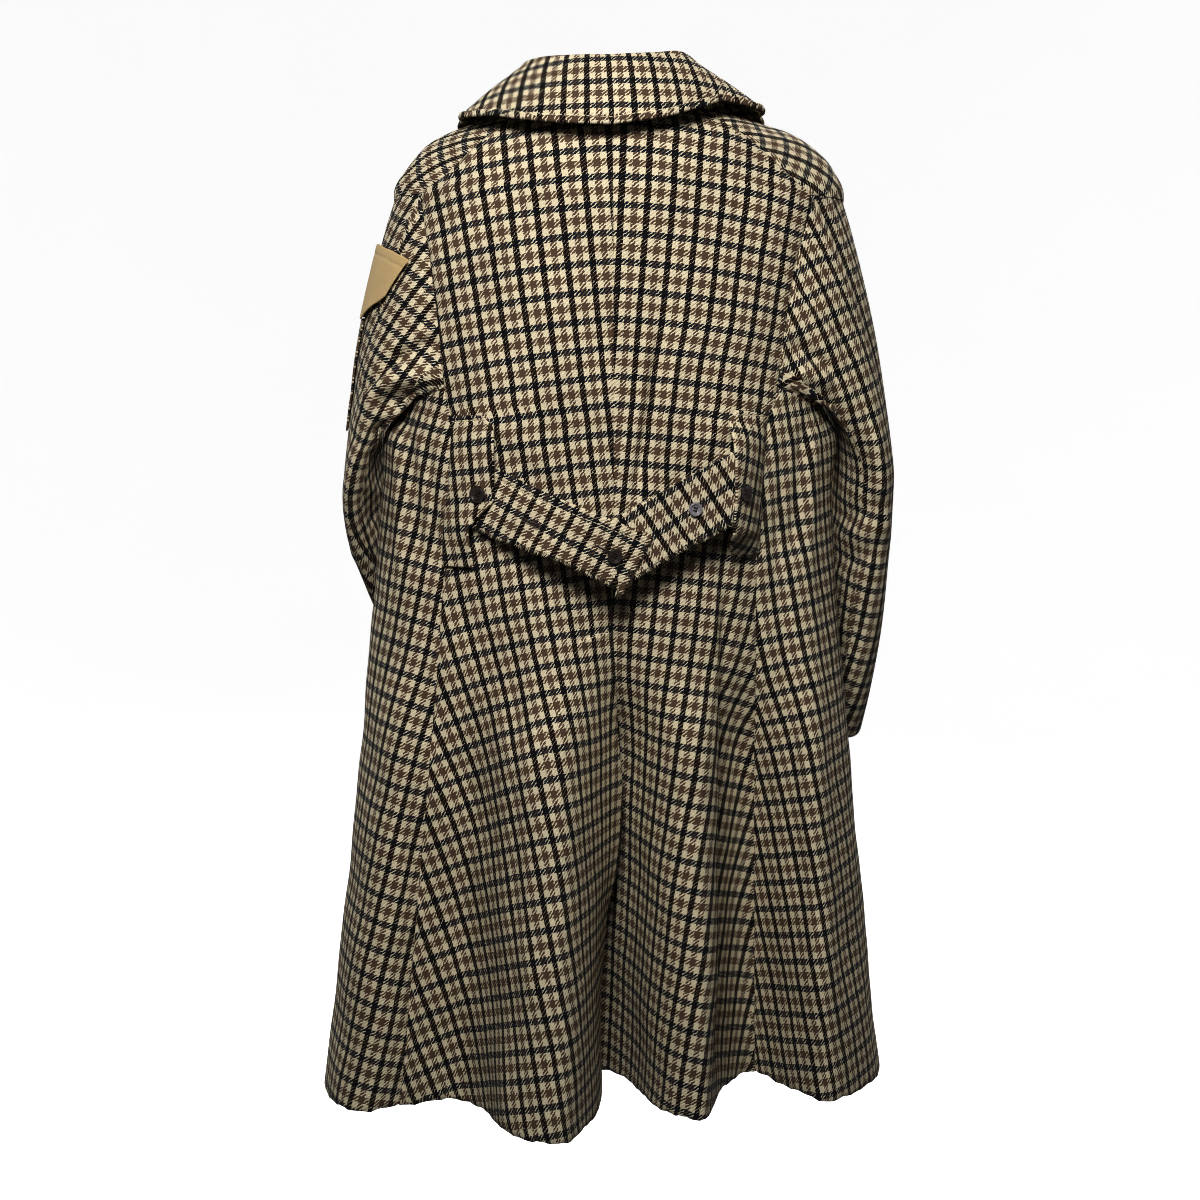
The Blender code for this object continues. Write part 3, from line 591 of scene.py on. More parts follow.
# Raw edges: belt, edge, strands for each millimetre, shortest and longest strand.
RAW_EDGES = (
    ("left", "bottom", 1.9, 2.0, 5.2),
    ("left", "last", 1.5, 1.2, 3.2),
    ("right", "bottom", 1.9, 2.0, 5.2),
    ("right", "top", 1.5, 1.2, 3.2),
)
STRAND_RADIUS = 0.32
STRAND_POINTS = 4
STRAND_LEAN = 0.35
STRAND_RISE = 0.6
STRAND_BEND = 0.25
STRAND_SPREAD = 0.8
STRAND_ROOT = 0.8
STRAND_END_GAP = 0.5
EDGE_STEP = 3.0
FRINGE_SEED = 7
# Uneven hem line: wave length, phase and height.
HEM_RAGGED = ((9.0, 0.7, 0.4), (23.0, 1.9, 0.7), (61.0, 0.4, 0.9))
HEM_RAGGED_FADE = 7.0

# Buttons: profile by share of radius and height, and four holes by share of the radius.
BUTTON_PROFILE = (
    (0.0, 0.0),
    (0.78, 0.0),
    (0.95, 0.16),
    (1.0, 0.45),
    (0.97, 0.78),
    (0.88, 0.98),
    (0.80, 1.0),
    (0.72, 0.90),
    (0.64, 0.68),
    (0.56, 0.60),
    (0.0, 0.58),
)
BUTTON_SEGMENTS = 48
HOLE_PLACE = 0.20
HOLE_RADIUS = 0.105
HOLE_SEGMENTS = 12
BUTTON_THREAD = 0.055
# Thread over a button: rise and sink by share of the button's height, half of its arc in radians.
THREAD_RISE = 0.30
THREAD_ARC = 1.8
THREAD_SINK = 0.02
# How far each button is turned, in degrees.
BUTTON_TURNS = (20.0, 0.0, 35.0, 8.0, 12.0, 40.0, 5.0, 28.0, 15.0, 33.0)

# Colours of the threads, the cotton, the buttons and the floor.
THREAD = (0.76, 0.67, 0.48)
TAN = (0.56, 0.41, 0.20)
HORN = (0.016, 0.009, 0.006)
# Right belt button: a dark button drawn pale grey for the light it reflects (painted reflection); its clear
# coat and gloss are real.
GREY_PAINTED_REFLECTION = (0.22, 0.20, 0.22)
# The dark thread also colours the buttonholes' slots, where it is painted shade.
DARK_THREAD_AND_SLOT_SHADE = (0.018, 0.014, 0.012)
PLAIN_GLOSS = 0.25
FLOOR = (0.80, 0.80, 0.80)
FLOOR_GLOW = 1.10
# Uneven tone or place: scale of the noise and its range from low to high.
WOOL_YARN = (1500.0, 0.78, 1.22)
WOOL_PATCHES = (14.0, 0.94, 1.06)
WOOL_WANDER = (420.0, -1.0, 1.0)
LOOSE_YARN = (900.0, 0.75, 1.15)
COTTON_YARN = (900.0, 0.9, 1.1)
NOISE_DETAIL = 2.0
NOISE_RANGE = (0.3, 0.7)
# Wool: how far its bands wander in millimetres, height of the yarn beside the twill's, bump, sheen.
WANDER = 0.4
YARN_HEIGHT = 1.5
WOOL_BUMP = (0.6, 0.4)
WOOL_ROUGHNESS = 0.95
WOOL_GLOSS = 0.08
SHEEN = 0.03
SHEEN_ROUGHNESS = 0.5
# Tan cotton: width of its twill, share of the tone that the twill takes, bump.
COTTON_TWILL = 1.4
COTTON_RIDGE = 0.07
COTTON_BUMP = (0.4, 0.2)
COTTON_ROUGHNESS = 0.85
# Plain materials: colour, roughness, scale and range of the uneven tone, clear coat and glow.
PLAIN = {
    "sewing thread": (THREAD, 0.8, (1500.0, 0.85, 1.15), 0.0, 0.0),
    "dark thread and painted slot shade": (DARK_THREAD_AND_SLOT_SHADE, 0.8, (1500.0, 0.8, 1.2), 0.0, 0.0),
    "dark horn": (HORN, 0.40, (260.0, 0.55, 1.7), 0.06, 0.0),
    "grey button with painted reflection": (GREY_PAINTED_REFLECTION, 0.25, (180.0, 0.8, 1.2), 0.4, 0.0),
    "pale floor": (FLOOR, 0.9, (3.0, 0.98, 1.02), 0.0, FLOOR_GLOW),
}

# Camera of the photograph and the studio: metres and degrees, lens and sensor in millimetres.
CAMERA_AZIMUTH = -3.5
CAMERA_ELEVATION = 6.5
CAMERA_TARGET = Vector((-0.010, -0.060, -0.470))
CAMERA_DISTANCE = 2.1
CAMERA_LENS = 61.2
CAMERA_SENSOR = 36.0
FLOOR_Z = -1.5
STAGE_RADIUS = 6.0
STAGE_HEIGHT = 4.0
STAGE_CENTRE = 0.001
STAGE_BEND = 1.5
STAGE_TURNS = 96
STAGE_BEND_STEPS = 10
# Lights: name, place, size, power.
LIGHTS = (
    ("key", (-0.22, -1.52, 0.70), 0.5, 37.0),
    ("left", (-2.0, 1.7, 1.1), 0.8, 34.0),
    ("right", (2.0, 1.7, 1.1), 0.8, 22.0),
    ("front", (0.9, 2.1, 1.3), 0.6, 42.0),
)
WORLD = 0.05
PICTURE_GAMMA = 0.77
PIXEL_FILTER = 1.0


def smooth(xs, ys, x):
    """Shape-keeping cubic through the points (xs, ys), read at x."""
    xs, ys = np.asarray(xs, float), np.asarray(ys, float)
    if xs[0] > xs[-1]:
        xs, ys = xs[::-1], ys[::-1]
    step = np.diff(xs)
    slope = np.diff(ys) / step
    tangent = np.zeros_like(ys)
    tangent[0], tangent[-1] = slope[0], slope[-1]
    same = slope[:-1] * slope[1:] > 0
    safe = np.where(same, slope[:-1] + slope[1:], 1.0)
    tangent[1:-1] = np.where(same, 2 * slope[:-1] * slope[1:] / safe, 0.0)
    x = np.clip(np.asarray(x, float), xs[0], xs[-1])
    k = np.clip(np.searchsorted(xs, x, side="right") - 1, 0, len(xs) - 2)
    t = (x - xs[k]) / step[k]
    value = (2 * t**3 - 3 * t**2 + 1) * ys[k] + (t**3 - 2 * t**2 + t) * step[k] * tangent[k]
    return value + (3 * t**2 - 2 * t**3) * ys[k + 1] + (t**3 - t**2) * step[k] * tangent[k + 1]


def read(table, name, at):
    """Smooth value of one column of a table against its first column."""
    return smooth(next(iter(table.values())), table[name], at)


def between(at, keys, points):
    """Places between the points of a line, each of which has a key."""
    return np.stack([np.interp(at, keys, values) for values in points.T], -1)


def ease(x):
    """Smooth step from 0 to 1."""
    x = np.clip(x, 0.0, 1.0)
    return x * x * (3 - 2 * x)


def unit(v):
    """Vectors of length one."""
    return v / np.maximum(np.linalg.norm(v, axis=-1, keepdims=True), 1e-9)


def side_name(side):
    """Name of the side: -1 is the left of the photograph, +1 its right."""
    return "left" if side < 0 else "right"


def ring(side, angle, z):
    """Plan section of the upper body: x and y at an angle from centre back."""
    half = read(SECTIONS, side_name(side), z)
    s, c = np.sin(np.radians(angle)), np.cos(np.radians(angle))
    behind = c > 0
    depth = np.where(behind, read(SECTIONS, "back", z),
                     read(SECTIONS, "front", z))
    square = np.where(behind, read(SECTIONS, "back_square", z),
                      read(SECTIONS, "front_square", z))
    x = side * half * np.sign(s) * np.abs(s) ** (2 / square)
    y = -np.sign(c) * depth * np.abs(c) ** (2 / square)
    return x, y


def hem(side, angle):
    """Plan of the fluted hem at an angle from centre back."""
    table = HEM_LEFT if side < 0 else HEM_RIGHT
    return (read(table, "x", angle), read(table, "y", angle))


def body(side, angle, z):
    """Outer face of the coat body; the skirt flares from waist to hem, and its back flutes deepen early."""
    angle, z = np.broadcast_arrays(np.asarray(angle, float), np.asarray(z, float))
    x, y = ring(side, angle, np.maximum(z, WAIST_Z))
    drop = np.clip((WAIST_Z - z) / (WAIST_Z - HEM_Z), 0.0, 1.0) ** FLARE_POWER
    hem_x, hem_y = hem(side, angle)
    if side > 0:
        parted = ease((VENT_TOP_Z - z) / VENT_BLEND)
        left_x, left_y = hem(-1, 0.0)
        right_x, right_y = hem(1, 0.0)
        near_vent = np.exp(-((angle / VENT_SPREAD) ** 2)) * (1 - parted)
        hem_x = hem_x + (left_x - right_x) * near_vent
        hem_y = hem_y + (left_y - right_y) * near_vent
    x = x + (hem_x - x) * drop
    fluted = ease((FLUTE_TOP_Z - z) / FLUTE_RUN) * ease((FLUTE_REACH - angle) / FLUTE_FADE)
    y = y + (hem_y - y) * (drop + (drop**FLUTE_POWER - drop) * fluted)
    if side > 0:
        below = ease((VENT_TOP_Z + VENT_SINK - z) / (VENT_SINK + VENT_EDGE))
        y = y + UNDERLAP_INSET * ease((VENT_EDGE - angle) / VENT_EDGE) * below
    else:
        y = y - OVERLAP_INSET * ease((angle - OVERLAP_FROM) / OVERLAP_SPREAD)
    return np.stack([x, y, z], -1)


def body_normal(side, angle, z):
    """Outward direction of the body's face."""
    across = body(side, angle + ANGLE_STEP, z) - body(side, angle - ANGLE_STEP, z)
    z = np.asarray(z, float)
    up = body(side, angle, z + NORMAL_STEP) - body(side, angle, z - NORMAL_STEP)
    return unit(np.cross(across, up) * side)


def angle_at(side, x, z, front=False):
    """Angle where the upper body's ring passes a distance x from the centre."""
    half = read(SECTIONS, side_name(side), z)
    square = read(SECTIONS, "front_square" if front else "back_square", z)
    turned = np.degrees(np.arcsin(np.clip(np.abs(x) / half, 0, 1) ** (square / 2)))
    return 180.0 - np.sign(x) * turned if front else turned


def back_edge(side, z):
    """Angle of the shoulder seam, back armhole and side-back seam."""
    z = np.maximum(np.asarray(z, float), WAIST_Z)
    return angle_at(side, read(BACK_EDGE, side_name(side), z), z)


def front_armhole(side, z):
    """Angle of the shoulder seam, front armhole and side-front seam."""
    z = np.asarray(z, float)
    keys = [JUNCTION_Z, *FRONT_ARMHOLE["z"]]
    angles = [back_edge(side, JUNCTION_Z), *FRONT_ARMHOLE["angle"]]
    below = smooth(keys, angles, np.maximum(z, WAIST_Z))
    return np.where(z >= JUNCTION_Z, back_edge(side, z), below)


def front_edge(side, z):
    """Angle of the lapel's roll line and the front edge."""
    z = np.maximum(np.asarray(z, float), WAIST_Z)
    return angle_at(side, read(FRONT_EDGE, "x", z), z, front=True)


def centre_back(side, z):
    """Angle of the centre back edge; the right half runs on under the vent."""
    z = np.asarray(z, float)
    lapped = ease((VENT_TOP_Z - VENT_EDGE - z) / UNDERLAP_RUN)
    return UNDERLAP_ANGLE * lapped * (side > 0)


def trimmed(grid, by, first=True, last=True):
    """Grid with its outer columns drawn in by a seam allowance."""
    out = grid.copy()
    if first:
        out[:, 0] += by * unit(grid[:, 1] - grid[:, 0])
    if last:
        out[:, -1] += by * unit(grid[:, -2] - grid[:, -1])
    return out


def grid_normal(grid):
    """Normals of a grid of points, by its rows and columns."""
    across = np.gradient(grid, axis=1)
    down = np.gradient(grid, axis=0)
    return unit(np.cross(across, down))


def softened(normal, times):
    """Normals evened out along the rows and columns, with the first row kept."""
    for _ in range(times):
        wide = np.pad(normal, ((1, 1), (1, 1), (0, 0)), mode="edge")
        mean = wide[:-2, 1:-1] + wide[2:, 1:-1] + wide[1:-1, :-2] + wide[1:-1, 2:] + 2 * normal
        mean[0] = normal[0]
        normal = unit(mean)
    return normal


def stations(table):
    """Row heights with the table's number of even steps between its rows."""
    heights = [table[0][0]]
    for (z, _), (lower, steps) in zip(table[:-1], table[1:]):
        heights.extend(np.linspace(z, lower, steps + 1)[1:])
    return np.array(heights, float)


def edge_shares(columns):
    """Shares across a panel, closer together at both edges."""
    near = np.array(EDGE_SHARES)
    middle = np.linspace(near[-1], 1 - near[-1], columns)
    return np.concatenate([near[:-1], middle, 1 - near[:-1][::-1]])


def crease_height(table, u, v):
    """Height of the listed creases at the places u, v; each fades out at its ends."""
    height = np.zeros(np.broadcast(u, v).shape)
    for u0, v0, u1, v1, width, depth in table:
        run = np.array([u1 - u0, v1 - v0])
        length = np.linalg.norm(run)
        along = ((u - u0) * run[0] + (v - v0) * run[1]) / length**2
        off = ((v - v0) * run[0] - (u - u0) * run[1]) / length
        fade = ease((along + CREASE_FADE) / (2 * CREASE_FADE))
        fade = fade * ease((1 + CREASE_FADE - along) / (2 * CREASE_FADE))
        height += depth * np.exp(-((off / width) ** 2)) * fade
    return height


def wobble(x, z):
    """Small unevenness of hung cloth."""
    turn = 2 * np.pi
    return sum(h * np.sin(turn * (x / a + z / b) + p) for a, b, p, h in WOBBLE)


def body_folds(point, angle):
    """How far the cloth of the body stands off its plain form."""
    x, z = point[..., 0], point[..., 2]
    behind = ease((BACK_REACH - angle) / BACK_FADE)
    back, front = crease_height(BACK_CREASES, x, z), crease_height(FRONT_CREASES, x, z)
    at_angle, angle_spread, at_z, z_spread = ARMPIT_PLACE
    full = np.where(x < 0, *ARMPIT_FULLNESS)
    full = full * np.exp(-(((angle - at_angle) / angle_spread) ** 2) - ((z - at_z) / z_spread) ** 2)
    return back * behind + front * (1 - behind) + wobble(x, z) + full


def edge_distance(grid):
    """Distance along each row from the first and from the last column."""
    step = np.linalg.norm(np.diff(grid, axis=1), axis=-1)
    first = np.concatenate([np.zeros((len(grid), 1)), np.cumsum(step, 1)], 1)
    return first, first[:, -1:] - first


def lay_flat(grid, share):
    """Flat cut of a grid of points, each triangle kept as near to its own shape as the others allow."""
    rows, columns = grid.shape[:2]
    index = np.arange(rows * columns).reshape(rows, columns)
    a, b, c, d = (q.ravel() for q in (index[:-1, :-1], index[:-1, 1:], index[1:, 1:], index[1:, :-1]))
    corners = np.concatenate([np.stack([a, b, c], -1), np.stack([a, c, d], -1)])
    points = grid.reshape(-1, 3)[corners]
    first, second = points[:, 1] - points[:, 0], points[:, 2] - points[:, 0]
    along = unit(first)
    shape = np.zeros((len(corners), 3, 2))
    shape[:, 1, 0] = np.linalg.norm(first, axis=-1)
    shape[:, 2, 0] = np.sum(second * along, -1)
    shape[:, 2, 1] = np.linalg.norm(np.cross(along, second), axis=-1)
    edges = []
    pull = np.zeros((rows * columns, rows * columns))
    for k in range(3):
        i, j = (k + 1) % 3, (k + 2) % 3
        p, q = shape[:, i] - shape[:, k], shape[:, j] - shape[:, k]
        area = np.maximum(p[:, 0] * q[:, 1] - p[:, 1] * q[:, 0], 1e-6)
        weight = np.clip(np.sum(p * q, -1) / area, *FLAT_WEIGHTS)
        edges.append((corners[:, i], corners[:, j], weight, shape[:, i] - shape[:, j]))
        np.add.at(pull, (corners[:, i], corners[:, i]), weight)
        np.add.at(pull, (corners[:, j], corners[:, j]), weight)
        np.add.at(pull, (corners[:, i], corners[:, j]), -weight)
        np.add.at(pull, (corners[:, j], corners[:, i]), -weight)
    pull[0, 0] += 1.0
    solve = np.linalg.inv(pull)
    start = int(round(share * (columns - 1)))
    across, down = edge_distance(grid)[0], edge_distance(np.swapaxes(grid, 0, 1))[0].T
    flat = np.stack([across - across[:, [start]], np.broadcast_to(down[:, [start]], across.shape)], -1)
    flat = flat.reshape(-1, 2)
    for _ in range(FLAT_PASSES):
        dot, cross = 0.0, 0.0
        for i, j, weight, own in edges:
            now = flat[i] - flat[j]
            dot = dot + weight * np.sum(own * now, -1)
            cross = cross + weight * (own[:, 0] * now[:, 1] - own[:, 1] * now[:, 0])
        turn = np.arctan2(cross, dot)
        cos, sin = np.cos(turn), np.sin(turn)
        target = np.zeros_like(flat)
        for i, j, weight, own in edges:
            turned = np.stack([cos * own[:, 0] - sin * own[:, 1], sin * own[:, 0] + cos * own[:, 1]], -1)
            np.add.at(target, i, weight[:, None] * turned)
            np.add.at(target, j, -weight[:, None] * turned)
        target[0] += flat[0]
        flat = solve @ target
    flat = flat.reshape(rows, columns, 2)
    flat = flat - flat[0, start]
    run = unit(flat[-1, start])
    return np.stack([flat[..., 0] * run[1] - flat[..., 1] * run[0], flat @ run], -1)


def spread(values, row_keys, column_keys, rows, columns):
    """A coarse grid of values read at finer rows and columns."""
    down = np.stack([smooth(row_keys, values[:, j], rows) for j in range(values.shape[1])], 1)
    columns = np.broadcast_to(columns, (len(rows), np.shape(columns)[-1]))
    return np.stack([smooth(column_keys, line, at) for line, at in zip(down, columns)], 0)


def cut(piece, side, grid, row_keys, column_keys, rows, columns):
    """Flat places of a cut piece on its grain, from a coarse grid of its points."""
    share, lean, fan, shift_u, shift_v = GRAIN[piece]
    coarse = lay_flat(grid, share)
    u, v = (spread(coarse[..., k], row_keys, column_keys, rows, columns) for k in (0, 1))
    slope = side * math.tan(math.radians(lean))
    above = np.maximum((FAN_END - v) / FAN_FADE, 0.0) * (fan > 0)
    near = np.minimum(above, 1.0)
    gathered = FAN_FADE * (near**3 - near**4 / 2 + above - near)
    leaning = v + gathered
    u, v = u * side * (1 - fan * gathered), v - fan * ease(above) * u**2 / 2
    return np.stack([u + leaning * slope + shift_u, v - u * slope * (1 - ease(above)) + shift_v], -1)


def cut_face(piece, side, face, rows, columns):
    """Flat places of a piece whose face is a function of its rows and columns."""
    row_steps, column_steps = COARSE_STEPS[piece]
    coarse_rows = np.linspace(rows[0], rows[-1], row_steps)
    coarse_columns = np.linspace(columns[0], columns[-1], column_steps)
    plain = face(coarse_rows[:, None], coarse_columns[None, :])
    return cut(piece, side, plain, coarse_rows, coarse_columns, rows, columns)


def turned_edge(piece, grid, edge):
    """Height of a turned edge: a groove along its stitch line and a soft roll outside it."""
    seam, groove, roll = TURNED_EDGES[piece]
    down = edge_distance(np.swapaxes(grid, 0, 1))
    away = (down[0] if edge == "top" else down[1]).T
    dip = groove * np.exp(-(((away - seam) / GROOVE_WIDTH) ** 2))
    return (roll * np.exp(-(((away - seam / 2) / (seam * ROLL_SHARE)) ** 2)) - dip)[..., None]


def cut_size(flat):
    """Width, length and area in metres of a flat cut."""
    size = (flat.reshape(-1, 2).max(0) - flat.reshape(-1, 2).min(0)) * MM
    a, c = flat[1:, 1:] - flat[:-1, :-1], flat[1:, :-1] - flat[:-1, 1:]
    area = np.abs(a[..., 0] * c[..., 1] - a[..., 1] * c[..., 0]).sum() / 2 * MM**2
    return float(size[0]), float(size[1]), float(area)


def mesh_object(name, points, faces, materials, flat=None):
    """A named, smooth-shaded object from points in millimetres, with its flat places if it is cloth."""
    mesh = bpy.data.meshes.new(name)
    mesh.from_pydata((np.asarray(points) * MM).tolist(), [], [tuple(map(int, face)) for face in faces])
    mesh.shade_smooth()
    for material in materials:
        mesh.materials.append(material)
    if flat is not None:
        places = np.concatenate([flat, np.zeros((len(flat), 1))], 1) * MM
        mesh.attributes.new("flat", "FLOAT_VECTOR", "POINT").data.foreach_set("vector", places.ravel())
    made = bpy.data.objects.new(name, mesh)
    bpy.context.scene.collection.objects.link(made)
    return made


def shell(name, outer, inner, flat, material):
    """Closed cloth shell between two grids with a rounded rim."""
    rows, columns = outer.shape[:2]
    index = np.arange(rows * columns).reshape(rows, columns)
    quads = np.stack([index[:-1, :-1], index[:-1, 1:], index[1:, 1:], index[1:, :-1]], -1).reshape(-1, 4)
    rim = np.concatenate([index[0], index[1:, -1], index[-1, -2::-1], index[-2:0:-1, 0]])
    inside = np.concatenate([index[1], index[1:, -2], index[-2, -2::-1], index[-2:0:-1, 1]])
    face, back, places = outer.reshape(-1, 3), inner.reshape(-1, 3), flat.reshape(-1, 2)
    thick = np.linalg.norm(face[rim] - back[rim], axis=-1, keepdims=True)
    middle = (face[rim] + back[rim]) / 2 + unit(face[rim] - face[inside]) * thick * RIM_ROUND
    half, turn = rows * columns, np.arange(len(rim))
    edge = 2 * half + turn
    after, next_edge = np.roll(rim, -1), np.roll(edge, -1)
    faces = np.concatenate([
        quads,
        quads[:, ::-1] + half,
        np.stack([after, rim, edge, next_edge], -1),
        np.stack([next_edge, edge, rim + half, after + half], -1),
    ])
    i, j = rows // 2, columns // 2
    facing = np.cross(outer[i, j + 1] - outer[i, j], outer[i + 1, j] - outer[i, j])
    if np.dot(facing, outer[i, j] - inner[i, j]) < 0:
        faces = faces[:, ::-1]
    points = np.concatenate([face, back, middle])
    return mesh_object(name, points, faces, [material], np.concatenate([places, places, places[rim]]))


def keep(piece, slot, *nodes):
    """A piece that hangs with the coat and stands for CAD nodes."""
    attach(piece, "root")
    if nodes:
        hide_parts(*nodes)
    return piece


def cloth(node, outer, inner, flat, material, rests_on, slot="wool"):
    """One cut piece of cloth in place of its CAD node; the size it was cut to is worked out but not kept."""
    piece = keep(shell(f"{node}_cloth", outer, inner, flat, material), slot, node)
    width, length, area = cut_size(flat)
    min(area, width * length)
    return {node: (outer, inner, flat)}


def panel_edges(kind, side, z):
    """Angles of the two long edges of a body panel, without the vent's underlap."""
    if kind == "back":
        return np.zeros_like(z), back_edge(side, z)
    if kind == "side":
        return back_edge(side, z), front_armhole(side, z)
    return front_armhole(side, z), front_edge(side, z)


def panel(kind, side, z, key):
    """Points, outward directions and angles of a body panel's plain face; key is 0 and 1 at its edges."""
    z, key = np.broadcast_arrays(z, key)
    first, last = panel_edges(kind, side, z)
    angle = first + (last - first) * key
    if kind == "side":
        z = z - read(SIDE_DIP, "dip", z) * (1 - (2 * key - 1) ** 2)
    return body(side, angle, z), body_normal(side, angle, z), angle


def panel_keys(kind, side, rows):
    """Keys of a panel's columns in each row; the right back runs on under the vent."""
    shares = edge_shares(PANEL_COLUMNS[kind])[None, :]
    if kind != "back":
        return np.broadcast_to(shares, (len(rows), shares.shape[1]))
    start = (centre_back(side, rows) / back_edge(side, rows))[:, None]
    return start + (1 - start) * shares


def ragged(across, rows):
    """Small uneven steps of the hem line, fading out above it."""
    step = sum(height * np.sin(2 * np.pi * across / wave + turn) for wave, turn, height in HEM_RAGGED)
    return step * np.exp(-(rows[:, None] - HEM_Z) / HEM_RAGGED_FADE)


def panel_flat(kind, side, rows, keys, angle):
    """Flat places of a body panel; a front is laid out by its angles, the others by their keys."""
    coarse_rows = np.linspace(rows[0], rows[-1], COARSE_ROWS)
    if kind == "front":
        coarse_angles = np.linspace(angle.min(), angle.max(), FRONT_COARSE)
        plain = body(side, coarse_angles[None, :], coarse_rows[:, None])
        return cut(kind, side, plain, coarse_rows, coarse_angles, rows, angle)
    coarse_keys = np.append(UNDERLAP_KEYS, COARSE_SHARES) if kind == "back" else COARSE_SHARES
    plain, _, _ = panel(kind, side, coarse_rows[:, None], coarse_keys[None, :])
    return cut(kind, side, plain, coarse_rows, coarse_keys, rows, keys)


def panel_cloth(kind, side, rows):
    """Outer face, inner face and flat places of a body panel with its folds."""
    keys = panel_keys(kind, side, rows)
    point, normal, angle = panel(kind, side, rows[:, None], keys)
    first, last = edge_distance(point)
    nearest = first if kind == "front" else np.minimum(first, last)
    lift = body_folds(point, angle) - SEAM_ROLL * np.exp(-((nearest / SEAM_ROLL_WIDTH) ** 2))
    outer = point + normal * lift[..., None]
    outer[..., 2] += ragged(first, rows)
    inner = outer - normal * CLOTH
    outer, inner = (trimmed(g, SEAM_GAP / 2, True, kind != "front") for g in (outer, inner))
    if kind == "side":
        down = unit(outer[1] - outer[0]) * SIDE_TOP_DROP
        outer[0] += down
        inner[0] += down
    flat = panel_flat(kind, side, rows, keys, angle)
    flat[..., 0] += TAKE_UP * side * (edge_distance(outer)[0] - edge_distance(point)[0])
    if kind == "back" and side < 0:
        shift = read(VENT_SHIFT, "shift", rows)[:, None] * np.exp(-first / VENT_SHIFT_WIDTH)
        outer[..., 0] += shift
        inner[..., 0] += shift
    return outer, inner, flat


def make_body(wool):
    """Back, side and front panels of both sides, with their checks meeting at the waist."""
    made = {}
    for side in (-1, 1):
        name = side_name(side)
        rests = {"back": f"front_{name}", "side": f"back_{name}", "front": "collar"}
        at_seam = None
        for kind, neighbour in rests.items():
            rows = stations(SIDE_ROWS if kind == "side" else FULL_ROWS)
            outer, inner, flat = panel_cloth(kind, side, rows)
            waist = int(np.argmin(np.abs(rows - WAIST_Z)))
            if at_seam is not None:
                flat += at_seam - flat[waist, 0]
            at_seam = flat[waist, -1]
            made.update(cloth(f"{kind}_{name}", outer, inner, flat, wool, [neighbour]))
    return made


def armhole(side, rows, columns):
    """Armhole loop from the shoulder round the front and under the arm: angles, points, normals."""
    share = np.linspace(0, 1, columns)[1:-1]
    low, high = front_armhole(side, ARMPIT_Z), back_edge(side, ARMPIT_Z)
    below = low + (high - low) * share
    angle = np.concatenate([front_armhole(side, rows), below, back_edge(side, rows[::-1])])
    bottom = ARMPIT_Z - ARMPIT_DIP * (1 - (2 * share - 1) ** 2)
    z = np.concatenate([rows, bottom, rows[::-1]])
    point = body(side, angle, z)
    centre = (JUNCTION_Z + ARMPIT_Z - ARMPIT_DIP) / 2
    around = np.degrees(np.arctan2(point[:, 1] / ARMHOLE_HALF_DEPTH, (z - centre) / ARMHOLE_HALF_HEIGHT))
    around[around < around[0] - 1e-6] += 360.0
    around[-1] = around[0] + 360.0
    under = np.concatenate([0 * rows, np.sin(np.pi * share), 0 * rows])[:, None]
    edge = body_normal(side, angle, z) * (1 - under) + np.array([0, 0, -1.0]) * under
    return around, point, unit(edge)


def sleeve_ring(side, along, around):
    """Section of the hanging sleeve at a share of its length."""
    table = SLEEVE_LEFT if side < 0 else SLEEVE_RIGHT
    value = {name: read(table, name, along) for name in table}
    centre, ahead, behind = (
        np.stack([read(table, n, np.clip(at, 0.0, 1.0)) for n in "xyz"], -1)
        for at in (along, along + AXIS_STEP, along - AXIS_STEP)
    )
    axis = unit(ahead - behind)
    turn = np.radians(value["turn"])
    out = np.stack([side * np.cos(turn), np.sin(turn), 0 * turn], -1)
    out = unit(out - axis * np.sum(out * axis, -1, keepdims=True))
    front = unit(np.cross(axis, out) * -side)
    c, s = np.cos(np.radians(around)), np.sin(np.radians(around))
    wide, deep = value["half_width"][..., None], value["half_depth"][..., None]
    return centre + out * wide * c[..., None] + front * deep * s[..., None]


def sleeve(side, along, around, loop):
    """Outer face of the sleeve: the armhole loop flows into the hanging sections."""
    along, around = np.broadcast_arrays(np.asarray(along, float), np.asarray(around, float))
    loop_around, loop_point, _ = loop
    wrapped = (around - loop_around[0]) % 360.0 + loop_around[0]
    wrapped = np.where(np.abs(around - loop_around[-1]) < 1e-9, loop_around[-1], wrapped)
    start = between(wrapped, loop_around, loop_point)
    share = ease(along / CAP_SHARE)[..., None]
    hung = sleeve_ring(side, along, around)
    hung[..., 2] += CAP_TILT * np.cos(np.radians(around)) * (1 - share[..., 0])
    return start * (1 - share) + hung * share


def sleeve_folds(side, along, around, point, normal):
    """How far a sleeve's cloth stands off its plain form; its back has creases of its own."""
    turned = (around + 180.0) % 360.0 - 180.0
    height = np.zeros(np.broadcast(along, around).shape)
    unrolled = np.array([SLEEVE_LENGTH, SLEEVE_DEGREE, SLEEVE_LENGTH, SLEEVE_DEGREE, 1.0, 1.0])
    for shift in (-360.0, 0.0, 360.0):
        table = (np.array(SLEEVE_CREASES[side]) + (0.0, shift, 0.0, shift, 0.0, 0.0)) * unrolled
        height += crease_height(table, along * SLEEVE_LENGTH, turned * SLEEVE_DEGREE)
    low, high = SLEEVE_BEHIND
    ahead = ease((normal[..., 1] - low) / (high - low))
    behind = crease_height(SLEEVE_BACK_CREASES[side], point[..., 0], point[..., 2])
    return (height * ahead + behind * (1 - ahead)) * ease(along / SLEEVE_SETTLE)


